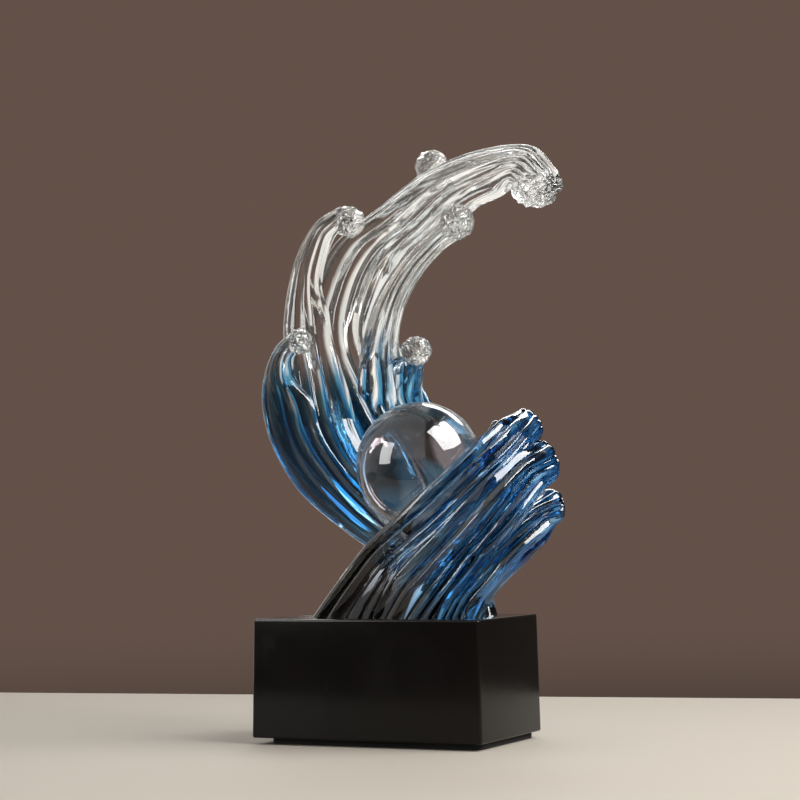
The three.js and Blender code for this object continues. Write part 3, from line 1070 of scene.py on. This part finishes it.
REAR_BANDS = (
    Band(
        12,
        (
            Station((6, 18, -6), (45, 18, -6), 25),
            Station((-5, 21, 25), (33, 24, 31), 25),
            Station((-19, 22, 53), (21, 36, 64), 19),
            Station((-35, 19, 77), (12, 40, 84), 18),
            Station((-46, 17, 105), (1, 37, 106), 18),
            Station((-54, 16, 134), (-11, 31, 134), 18),
            Station((-51, 16, 158), (-4, 27, 153), 18),
            Station((-38, 16, 180), (9, 22, 171), 17),
            Station((-13, 15, 196), (24, 18, 181), 16),
            Station((14, 12, 211), (39, 14, 192), 15),
            Station((47, 9, 219), (53, 10, 196), 15),
            Station((72, 6, 217), (60, 6, 199), 15),
            Station((84, 2, 205), (66, 3, 197), 14),
        ),
    ),
    Band(
        8,
        (
            Station((-7, 17, 26), (18, 23, 33), 18),
            Station((-25, 15, 48), (-3, 22, 59), 16),
            Station((-43, 11, 65), (-20, 20, 76), 15),
            Station((-54, 9, 86), (-28, 18, 91), 15),
            Station((-60, 8, 112), (-32, 17, 111), 14),
            Station((-62, 7, 139), (-38, 16, 136), 14),
            Station((-57, 6, 165), (-43, 13, 161), 13),
            Station((-50, 4, 179), (-38, 9, 174), 12),
            Station((-40, 2, 190), (-32, 5, 182), 11),
            Station((-27, -1, 195), (-25, 1, 185), 10),
        ),
        depth=0.4,
    ),
    Band(
        8,
        (
            Station((-11, 15, 25), (12, 20, 32), 18),
            Station((-33, 11, 41), (-12, 17, 52), 16),
            Station((-54, 6, 60), (-29, 14, 72), 15),
            Station((-67, 3, 83), (-39, 12, 87), 14),
            Station((-71, 1, 104), (-45, 10, 104), 13),
            Station((-68, -1, 118), (-54, 5, 115), 12),
            Station((-60, -4, 130), (-53, 0, 123), 10),
            Station((-49, -7, 136), (-47, -5, 127), 9),
        ),
        depth=0.3,
    ),
    Band(
        6,
        (
            Station((-30, 24, 92), (-8, 33, 94), 10),
            Station((-27, 17, 111), (-4, 26, 111), 13),
            Station((-21, 10, 129), (-5, 18, 129), 13),
            Station((-11, 5, 150), (3, 11, 149), 13),
            Station((4, 2, 168), (15, 6, 163), 12),
            Station((21, -2, 180), (28, 1, 172), 11),
            Station((31, -5, 185), (36, -3, 175), 10),
        ),
    ),
    Band(
        6,
        (
            Station((-34, 21, 111), (-17, 28, 111), 10),
            Station((-36, 28, 139), (-18, 33, 138), 12),
            Station((-35, 31, 161), (-15, 35, 158), 12),
            Station((-24, 32, 183), (-8, 35, 178), 12),
            Station((-9, 32, 202), (2, 34, 195), 11),
            Station((2, 32, 215), (10, 32, 208), 9),
        ),
    ),
    Band(
        6,
        (
            Station((-7, 31, 68), (10, 37, 71), 9),
            Station((-11, 31, 90), (5, 37, 91), 12),
            Station((-15, 26, 106), (1, 32, 105), 13),
            Station((-12, 19, 119), (6, 22, 118), 12),
        ),
    ),
)
REAR_BEADS = (
    Bead((74.5, -1.2, 195.4), 8.4, chips=260, roughness=0.12, stretch=1.45, nub=(0.95, -0.2, 0.3)),
    Bead((37, -6, 183), 9.1),
    Bead((8, 31, 217), 8.6),
    Bead((-22, 0.4, 188), 8),
    Bead((-46.2, -5.6, 131.5), 6.7),
    Bead((4.6, 17, 126), 7.8),
)
FRONT_BANDS = (
    Band(
        10,
        (
            Station((-41, -14, -6), (-1, -16, -6), 24),
            Station((-20, -17, 18), (10, -18, 12), 24),
            Station((-2, -21, 36), (22, -20, 26), 25),
            Station((26, -25, 58), (41, -21, 40), 24),
            Station((47, -14, 79), (60, -15, 59), 21),
            Station((52, 2, 89), (66, -1, 72), 18),
            Station((53, 19, 93), (68, 16, 82), 15),
        ),
    ),
    Band(
        10,
        (
            Station((-8, -18, -6), (27, -18, -6), 24),
            Station((9, -21, 20), (42, -20, 10), 24),
            Station((28, -24, 37), (55, -22, 25), 22),
            Station((49, -24, 56), (71, -22, 40), 20),
            Station((60, -8, 72), (77, -8, 55), 17),
            Station((67, 10, 80), (77, 9, 62), 14),
        ),
    ),
    Band(
        10,
        (
            Station((19, -15, -6), (46, -13, -6), 24),
            Station((34, -18, 16), (56, -16, 9), 22),
            Station((49, -19, 30), (70, -17, 23), 19),
            Station((62, -7, 46), (78, -3, 35), 16),
            Station((73, 9, 58), (76, 12, 42), 14),
        ),
    ),
    Band(
        6,
        (
            Station((39, -9, 62), (54, -13, 65), 14),
            Station((44, 3, 77), (55, 0, 76), 12),
            Station((44, 14, 87), (55, 10, 85), 10),
        ),
    ),
)


def rounded_block(
    low: Vector, high: Vector, corner: float, edge: float, lean: float = 0.0, steps: int = 6
) -> tuple[np.ndarray, Faces, np.ndarray]:
    """An upright block with rounded corners and edges, whose sides lean in towards its top.

    Args:
        low: Its lowest corner.
        high: Its highest corner.
        corner: Rounding of the upright corners.
        edge: Rounding of the top and bottom edges.
        lean: How far each side leans in, from bottom to top.
        steps: Steps in each rounding.

    Returns:
        The points, the faces and, at each point, 1 on a rounded edge and 0 on a flat face.
    """
    middle, half = (low + high) / 2, (high - low) / 2
    quarter = np.linspace(0, np.pi / 2, steps + 1)
    lower = [(edge * (1 - math.cos(a)), edge * (1 - math.sin(a))) for a in quarter]
    rings = lower + [(2 * half.z - z, inset) for z, inset in reversed(lower)]
    signs = ((1, 1), (-1, 1), (-1, -1), (1, -1))
    points, wear = [], []
    for row, (z, inset) in enumerate(rings):
        slope = lean * z / (2 * half.z)
        for turn, (sx, sy) in enumerate(signs):
            for angle in quarter + turn * np.pi / 2:
                x = sx * (half.x - corner - slope) + (corner - inset) * math.cos(angle)
                y = sy * (half.y - corner - slope) + (corner - inset) * math.sin(angle)
                points.append((middle.x + x, middle.y + y, low.z + z))
                flat_side = min(abs(math.sin(2 * angle)), 1.0)
                rolled = math.sin(math.pi * (row % (steps + 1)) / steps)
                wear.append(max(flat_side, rolled))
    columns = len(signs) * (steps + 1)
    points += [(middle.x, middle.y, low.z), (middle.x, middle.y, high.z)]
    wear += [0.0, 0.0]
    return np.array(points), skin_faces(len(rings), columns), np.array(wear)


def round_bar(place: Vector, radius: float, bottom: float, top: float, sides: int = 40) -> Piece:
    """An upright round bar, to cut a hole with.

    Args:
        place: Its middle.
        radius: Its radius.
        bottom: The height of its lower end.
        top: The height of its upper end.
        sides: How many sides it has.

    Returns:
        The bar.
    """
    angle = np.arange(sides) * 2 * np.pi / sides
    ring = np.stack([place.x + radius * np.cos(angle), place.y + radius * np.sin(angle)], axis=1)
    rows = [np.column_stack([ring, np.full(sides, z)]) for z in (bottom, top)]
    points = np.vstack([*rows, [(place.x, place.y, bottom), (place.x, place.y, top)]])
    return new_piece("bar", points, skin_faces(2, sides))


def quad_ball(name: str, centre: Vector, radius: float, cuts: int, *finishes: Material) -> Piece:
    """A ball of even quads.

    Args:
        name: The piece's name.
        centre: Its middle.
        radius: Its radius.
        cuts: Cuts along each edge of the cube that is blown up into the ball.
        finishes: Its materials.

    Returns:
        The piece.
    """
    shell = bmesh.new()
    bmesh.ops.create_cube(shell, size=2.0)
    bmesh.ops.subdivide_edges(shell, edges=shell.edges, cuts=cuts, use_grid_fill=True)
    for vert in shell.verts:
        even = Vector(math.tan(x * math.pi / 4) for x in vert.co)
        vert.co = centre + even.normalized() * radius
    return shell_piece(name, shell, finishes)


def carry_values(piece: Piece, points: np.ndarray, values: dict[str, np.ndarray]) -> None:
    """Gives each point of a piece the values of the nearest sample.

    Args:
        piece: The piece.
        points: The samples' places, in metres.
        values: The samples' values or vectors by name.
    """
    tree = kdtree.KDTree(len(points))
    for i, place in enumerate(points):
        tree.insert(place, i)
    tree.balance()
    nearest = np.array([tree.find(vert.co)[1] for vert in piece.data.vertices])
    for name, samples in values.items():
        kind, label = ("FLOAT_VECTOR", "vector") if samples.ndim == 2 else ("FLOAT", "value")
        attribute = piece.data.attributes.new(name, kind, "POINT")
        attribute.data.foreach_set(label, samples[nearest].astype(np.float32).ravel())


@dataclass
class Stand:
    """Sizes that the pieces take from the frame, in metres."""

    plinth_low: Vector
    plinth_high: Vector
    ball_centre: Vector
    ball_radius: float

    @classmethod
    def read(cls) -> "Stand":
        """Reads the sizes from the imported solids.

        Returns:
            The sizes.
        """
        plinth_low, plinth_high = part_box("plinth")
        ball_low, ball_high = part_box("glass_ball")
        return cls(plinth_low, plinth_high, (ball_low + ball_high) / 2, (ball_high.z - ball_low.z) / 2)


@dataclass
class Wave:
    """A cast resin wave: bands and beads in one, with a flat foot, a tenon and the ball's hollow."""

    node: str
    bands: tuple[Band, ...]
    beads: tuple[Bead, ...]
    relief: Relief
    finish: ResinFinish
    slot: Slot
    seed: int
    ball_clearance: float = 0.3 * MM
    hollow_cuts: int = 40
    cutter_corner: float = 1.0 * MM
    tenon_wall: float = 3.0 * MM
    tenon_corner: float = 3.0 * MM
    tenon_edge: float = 0.6 * MM
    tenon_root: float = 4.0 * MM
    # How far above the plinth's top the painted shade coat reaches.
    shade_coat_rise: float = 0.06 * MM
    insert_clearance: float = 0.2 * MM
    crease: float = math.radians(48)
    band_spacing: float = 1000.0
    piece: Piece | None = None

    def build(self, stand: Stand, effects: Effects) -> Piece:
        """Builds the wave's mesh and puts it in the place of the solid.

        Args:
            stand: Sizes from the frame.
            effects: The shared effects.

        Returns:
            The piece.
        """
        rng = np.random.default_rng(self.seed)
        finishes = [f.material(effects) for f in (self.finish, FOOT_SHADE_COAT, BEAD_CRYSTAL)]
        top = stand.plinth_high.z
        raised = np.array([0, 0, top])
        seat = tuple((stand.ball_centre - Vector((0, 0, top))) / MM)
        skins = [b.skin(self.relief, rng, i * self.band_spacing, seat) for i, b in enumerate(self.bands)]
        parts = [
            new_piece(f"{self.node}_band_{i}", skin.points * MM + raised, skin.faces, *finishes)
            for i, skin in enumerate(skins)
        ]
        for i, bead in enumerate(self.beads):
            parts.append(bead.piece(f"{self.node}_bead_{i}", top, rng, finishes))
        self.piece = parts[0]
        combine(self.piece, parts[1:], Cut.JOIN)
        self.cut_foot(stand)
        self.add_tenon(stand)
        self.piece.name = f"{self.node}_casting"
        self.piece.data.name = self.piece.name
        samples = np.vstack([skin.points for skin in skins]) * MM + raised
        flow = np.vstack([skin.flow for skin in skins])
        ridge = np.concatenate([skin.ridge for skin in skins])
        carry_values(self.piece, samples, {"flow": flow, "ridge": ridge})
        self.dress(top)
        return self.piece

    def cut_foot(self, stand: Stand) -> None:
        """Cuts the foot flat on the plinth, and the hollow for the ball.

        Args:
            stand: Sizes from the frame.
        """
        low, high = stand.plinth_low, stand.plinth_high
        reach = high - low
        far = Vector((high.x + reach.x, high.y + reach.y, high.z))
        below = new_piece("below", *rounded_block(low - reach, far, self.cutter_corner, 0.0)[:2])
        radius = stand.ball_radius + self.ball_clearance
        hollow = quad_ball("hollow", stand.ball_centre, radius, self.hollow_cuts)
        combine(self.piece, [below, hollow], Cut.REMOVE)

    def add_tenon(self, stand: Stand) -> None:
        """Adds the tenon that stands in the plinth, with the holes for its inserts.

        Args:
            stand: Sizes from the frame.
        """
        inserts = [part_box(f"{self.node}_insert_{i}") for i in (1, 2)]
        wall = Vector((self.tenon_wall, self.tenon_wall, 0)) + Vector((1, 1, 0)) * self.insert_clearance
        low, high = inserts[0][0] - wall, inserts[1][1] + wall
        high.z = stand.plinth_high.z + self.tenon_root
        tenon = new_piece("tenon", *rounded_block(low, high, self.tenon_corner, self.tenon_edge)[:2])
        combine(self.piece, [tenon], Cut.JOIN)
        holes = [
            round_bar(
                (below + above) / 2,
                (above.x - below.x) / 2 + self.insert_clearance,
                below.z - self.tenon_root,
                above.z + self.insert_clearance,
            )
            for below, above in inserts
        ]
        combine(self.piece, holes, Cut.REMOVE)

    def dress(self, top: float) -> None:
        """Gives the faces their finishes and shading, and puts the piece on the stand.

        Args:
            top: The height of the plinth's top.
        """
        mesh = self.piece.data
        for face in mesh.polygons:
            bead = face.material_index == Skin.BEAD.value
            # Faces at and below the plinth's top get the painted shade coat.
            if not bead and face.center.z < top + self.shade_coat_rise:
                face.material_index = Skin.SHADE_COAT.value
            face.use_smooth = not bead
        mesh.set_sharp_from_angle(angle=self.crease)
        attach(self.piece, Body.STAND.value)
        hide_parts(self.node)


@dataclass
class GlassBall:
    """The clear ball that lies in the hollow of the waves."""

    cuts: int = 47
    piece: Piece | None = None

    def build(self, stand: Stand, effects: Effects) -> Piece:
        """Builds the ball.

        Args:
            stand: Sizes from the frame.
            effects: The shared effects.

        Returns:
            The piece.
        """
        finish = BALL_GLASS.material(effects)
        self.piece = quad_ball("clear_ball", stand.ball_centre, stand.ball_radius, self.cuts, finish)
        self.dress()
        return self.piece

    def dress(self) -> None:
        """Smooths the ball and lets it turn with its body."""
        self.piece.data.shade_smooth()
        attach(self.piece, Body.BALL.value)
        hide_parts("glass_ball")


@dataclass
class Plinth:
    """The black lacquered block, with sockets above and counterbored screw holes below."""

    lean: float = 0.8 * MM
    corner: float = 1.4 * MM
    edge: float = 1.0 * MM
    rounding_steps: int = 8
    crease: float = math.radians(40)
    socket_clearance: float = 0.3 * MM
    tenon_wall: float = 3.2 * MM
    tenon_corner: float = 3.3 * MM
    screw_clearance: float = 0.3 * MM
    washer_clearance: float = 0.8 * MM
    overshoot: float = 1.4 * MM
    waves: tuple[str, ...] = ("front_wave", "rear_wave")
    piece: Piece | None = None

    def build(self, stand: Stand, effects: Effects) -> Piece:
        """Builds the block.

        Args:
            stand: Sizes from the frame.
            effects: The shared effects.

        Returns:
            The piece.
        """
        points, faces, wear = rounded_block(
            stand.plinth_low, stand.plinth_high, self.corner, self.edge, self.lean, self.rounding_steps
        )
        self.piece = new_piece("lacquered_block", points, faces, PLINTH_LACQUER.material(effects))
        for wave in self.waves:
            self.cut_socket(wave, stand)
        carry_values(self.piece, points, {"edge": wear})
        self.dress()
        return self.piece

    def cut_socket(self, wave: str, stand: Stand) -> None:
        """Cuts the socket for one wave's tenon, and the holes for its screws.

        Args:
            wave: The wave's node.
            stand: Sizes from the frame.
        """
        inserts = [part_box(f"{wave}_insert_{i}") for i in (1, 2)]
        wall = Vector((1, 1, 0)) * (self.tenon_wall + self.socket_clearance)
        low, high = inserts[0][0] - wall, inserts[1][1] + wall
        low.z -= self.socket_clearance
        high.z = stand.plinth_high.z + self.overshoot
        cuts = [new_piece("socket", *rounded_block(low, high, self.tenon_corner, 0.0)[:2])]
        for i in (1, 2):
            screw_low, screw_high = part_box(f"{wave}_screw_{i}")
            washer_low, washer_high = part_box(f"{wave}_washer_{i}")
            insert_low, insert_high = inserts[i - 1]
            middle = (screw_low + screw_high) / 2
            below = stand.plinth_low.z - self.overshoot
            shank = (insert_high.x - insert_low.x) / 2 - self.socket_clearance
            head = (washer_high.x - washer_low.x) / 2 + self.washer_clearance
            cuts.append(round_bar(middle, shank, below, low.z + self.overshoot))
            cuts.append(round_bar(middle, head, below, washer_high.z + self.screw_clearance))
        combine(self.piece, cuts, Cut.REMOVE)

    def dress(self) -> None:
        """Shades the block and puts it in the place of the solid."""
        self.piece.data.shade_smooth()
        self.piece.data.set_sharp_from_angle(angle=self.crease)
        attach(self.piece, Body.STAND.value)
        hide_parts("plinth")


@dataclass
class BasePad:
    """The thin foam pad, set back under the plinth."""

    corner: float = 3.0 * MM
    edge: float = 0.6 * MM
    crease: float = math.radians(50)
    piece: Piece | None = None

    def build(self, effects: Effects) -> Piece:
        """Builds the pad.

        Args:
            effects: The shared effects.

        Returns:
            The piece.
        """
        low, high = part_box("base_pad")
        points, faces, _ = rounded_block(low, high, self.corner, self.edge)
        self.piece = new_piece("foam_pad", points, faces, PAD_FOAM.material(effects))
        self.piece.data.shade_smooth()
        self.piece.data.set_sharp_from_angle(angle=self.crease)
        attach(self.piece, Body.STAND.value)
        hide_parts("base_pad")
        return self.piece


@dataclass
class Fixings:
    """Screws, washers and inserts, which keep their solids."""

    steel: tuple[str, ...] = ("screw", "washer")
    brass: tuple[str, ...] = ("insert",)

    def dress(self, nodes: dict[str, Piece], effects: Effects) -> list[Piece]:
        """Gives the solids their finishes.

        Args:
            nodes: The frame's solids by name.
            effects: The shared effects.

        Returns:
            The pieces.
        """
        dressed = []
        for names, finish in ((self.steel, SCREW_STEEL), (self.brass, INSERT_BRASS)):
            material = finish.material(effects)
            for node, piece in nodes.items():
                if any(name in node for name in names):
                    piece.data.materials.clear()
                    piece.data.materials.append(material)
                    dressed.append(piece)
        return dressed


@dataclass(frozen=True)
class Softbox:
    """A soft lamp that faces the sculpture."""

    name: str
    way: Point
    distance: float
    width: float
    height: float
    power: float
    shine_only: bool = False

    def build(self, target: Vector) -> None:
        """Adds the lamp.

        Args:
            target: What it faces.
        """
        lamp = bpy.data.lights.new(self.name, "AREA")
        lamp.shape = "RECTANGLE"
        lamp.size, lamp.size_y = self.width, self.height
        lamp.energy = self.power
        holder = bpy.data.objects.new(self.name, lamp)
        way = Vector(self.way).normalized()
        holder.location = target + way * self.distance
        holder.rotation_euler = way.to_track_quat("Z", "Y").to_euler()
        holder.visible_camera = False
        holder.visible_diffuse = not self.shine_only
        holder.visible_transmission = not self.shine_only
        bpy.context.scene.collection.objects.link(holder)


class Way(Enum):
    """The ways that the sides of the room lie along, as the camera has them."""

    RIGHT = 0
    AHEAD = 1
    UP = 2


@dataclass(frozen=True)
class Wall:
    """A side of the room: where its colour comes in along a way and where it is full.

    In what glass bends or a gloss shows, the colour can come in nearer the middle than the camera sees it.
    """

    way: Way
    colour: Colour
    seen: Span
    bent: Span | None = None

    def bounds(self, sheet: NodeSheet, by_camera: Socket) -> list[object]:
        """Finds where the colour comes in and where it is full.

        Args:
            sheet: The world's nodes.
            by_camera: The output that is 1 for what the camera sees.

        Returns:
            The two places, as outputs or plain values.
        """
        if self.bent is None:
            return list(self.seen)
        return [
            sheet.math("ADD", sheet.math("MULTIPLY", by_camera, seen - bent), bent)
            for seen, bent in zip(self.seen, self.bent)
        ]


BELOW = Wall(Way.UP, (0.035, 0.028, 0.024), (-0.04, -0.12))
FAR_FLOOR = Wall(Way.UP, (0.60, 0.54, 0.46), (-0.22, -0.45))
LEFT_WALL = Wall(Way.RIGHT, (0.86, 0.815, 0.75), (-0.20, -0.32), (-0.06, -0.25))
NEAR_WALL = Wall(Way.AHEAD, (0.17, 0.155, 0.145), (0.1, -0.5))
OVERHEAD = Wall(Way.UP, (1.0, 0.96, 0.90), (0.245, 0.45), (0.12, 0.30))
RIGHT_WALL = Wall(Way.RIGHT, (0.07, 0.058, 0.052), (0.23, 0.40), (0.10, 0.20))


@dataclass
class Studio:
    """The floor, the light, the backdrop and the camera."""

    focal_pixels: float = 2200.0
    picture_pixels: float = 800.0
    sensor: float = 36.0
    distance: float = 1037 * MM
    eye_height: float = 99.4 * MM
    yaw: float = math.radians(25.4)
    pitch: float = math.radians(3.33)
    roll: float = math.radians(-0.81)
    shift_pixels: float = -7.0
    floor_yaw: float = math.radians(9.4)
    floor_width: float = 2.4
    floor_front: float = 0.27
    floor_back: float = 0.267
    floor_colour: Colour = (0.68, 0.61, 0.52)
    floor_roughness: float = 0.6
    floor_shine: float = 0.1
    backdrop: Colour = (0.125, 0.083, 0.066)
    walls: tuple[Wall, ...] = (BELOW, FAR_FLOOR, LEFT_WALL, NEAR_WALL, OVERHEAD, RIGHT_WALL)
    ambient: float = 0.45
    bounces: int = 28
    glossy_bounces: int = 8
    target: Vector = field(default_factory=lambda: Vector((0.01, 0.0, 0.15)))
    lamps: tuple[Softbox, ...] = (
        Softbox("key_softbox", (0.706, 0.039, 0.706), 0.9, 0.75, 0.70, 7.5),
        Softbox("key_sheen", (0.706, 0.039, 0.706), 0.86, 0.72, 0.67, 19.0, shine_only=True),
        Softbox("left_softbox", (-0.62, -0.72, 0.31), 1.0, 0.40, 0.60, 8.0, shine_only=True),
        Softbox("back_strip", (-0.25, 0.9, 0.75), 0.9, 0.9, 0.18, 5.0, shine_only=True),
        Softbox("glow_card", (-0.112, 0.140, -0.052), 0.187, 0.040, 0.026, 0.0095),
    )

    def build(self) -> None:
        """Builds the studio round the sculpture."""
        self.add_floor()
        self.add_backdrop()
        for lamp in self.lamps:
            lamp.build(self.target)
        self.add_camera()
        scene = bpy.context.scene
        scene.view_settings.view_transform = "Standard"
        scene.cycles.max_bounces = self.bounces
        scene.cycles.transmission_bounces = self.bounces
        scene.cycles.glossy_bounces = self.glossy_bounces

    def level_ways(self, yaw: float) -> tuple[Vector, Vector]:
        """The ways to the right and ahead, for a turn from the plinth's own."""
        return Vector((math.cos(yaw), math.sin(yaw), 0)), Vector((-math.sin(yaw), math.cos(yaw), 0))

    def add_floor(self) -> None:
        """Adds the plain pale floor."""
        right, ahead = self.level_ways(self.floor_yaw)
        aside, front, back = right * self.floor_width / 2, -ahead * self.floor_front, ahead * self.floor_back
        corners = np.array([front - aside, front + aside, back + aside, back - aside])
        material, shader = new_material("pale_floor")
        shader.inputs["Base Color"].default_value = opaque(self.floor_colour)
        shader.inputs["Roughness"].default_value = self.floor_roughness
        shader.inputs["Specular IOR Level"].default_value = self.floor_shine
        floor = new_piece("floor", corners, [(0, 1, 2, 3)], material)

    def add_backdrop(self) -> None:
        """Adds the backdrop, which cameras, gloss and glass see, and the even light for the rest."""
        world = bpy.data.worlds.new("studio")
        bpy.context.scene.world = world
        world.use_nodes = True
        world.node_tree.nodes.clear()
        sheet = NodeSheet(world.node_tree)
        rays = sheet.add("LightPath").outputs
        seen = sheet.math("MAXIMUM", rays["Is Camera Ray"], rays["Is Glossy Ray"])
        seen = sheet.math("MAXIMUM", seen, rays["Is Transmission Ray"])
        look = sheet.add("TexCoord").outputs["Generated"]
        axes = (*self.level_ways(self.yaw), Vector(UP))
        reach = {way: sheet.vector("DOT_PRODUCT", look, tuple(axes[way.value])) for way in Way}
        room = opaque(self.backdrop)
        for wall in self.walls:
            low, high = wall.bounds(sheet, rays["Is Camera Ray"])
            room = sheet.blend(sheet.share(reach[wall.way], low, high), room, opaque(wall.colour))
        shown = sheet.add("Background", {"Color": room})
        even = sheet.add("Background", {"Strength": self.ambient})
        mix = sheet.add("MixShader", {0: seen, 1: even.outputs[0], 2: shown.outputs[0]})
        sheet.add("OutputWorld", {"Surface": mix.outputs[0]})

    def add_camera(self) -> None:
        """Adds the camera at the photograph's place."""
        right, ahead = self.level_ways(self.yaw)
        up = Vector(UP)
        look = ahead * math.cos(self.pitch) + up * math.sin(self.pitch)
        head = up * math.cos(self.pitch) - ahead * math.sin(self.pitch)
        side = right * math.cos(self.roll) + head * math.sin(self.roll)
        top = head * math.cos(self.roll) - right * math.sin(self.roll)
        data = bpy.data.cameras.new("camera")
        data.sensor_width = self.sensor
        data.lens = self.sensor * self.focal_pixels / self.picture_pixels
        data.shift_x = -self.shift_pixels / self.picture_pixels
        camera = bpy.data.objects.new("camera", data)
        turn = Matrix((side, top, -look)).transposed().to_4x4()
        camera.matrix_world = Matrix.Translation(-ahead * self.distance + up * self.eye_height) @ turn
        bpy.context.scene.collection.objects.link(camera)
        bpy.context.scene.camera = camera


def main() -> None:
    """Builds the sculpture round the frame, and the studio round the sculpture."""
    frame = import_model()
    logging.basicConfig(level=logging.INFO, format="%(name)s: %(message)s")
    stand = Stand.read()
    effects = Effects()
    Studio().build()
    rear = Wave(
        "rear_wave",
        REAR_BANDS,
        REAR_BEADS,
        Relief(groove=3.2, rib=0.12, lump=0.10, tip_lump=0.5, stray=0.08, sharpness=0.15),
        REAR_RESIN,
        Slot.CLEAR_RESIN,
        seed=11,
    )
    front = Wave(
        "front_wave",
        FRONT_BANDS,
        (),
        Relief(
            groove=4.0,
            rib=0.16,
            lump=0.12,
            tip_lump=1.4,
            stray=0.10,
            sharpness=0.35,
            flatness=0.35,
            uneven=0.18,
            tip_share=0.42,
            tip_groove=0.22,
            back_groove=0.15,
        ),
        FRONT_RESIN,
        Slot.BLUE_RESIN,
        seed=23,
    )
    pieces = [rear.build(stand, effects), front.build(stand, effects), GlassBall().build(stand, effects)]
    pieces += [Plinth().build(stand, effects), BasePad().build(effects)]
    pieces += Fixings().dress(frame["nodes"], effects)
    for piece in pieces:
        LOG.info("%s: %d faces", piece.name, len(piece.data.polygons))


if __name__ == "__main__":
    main()
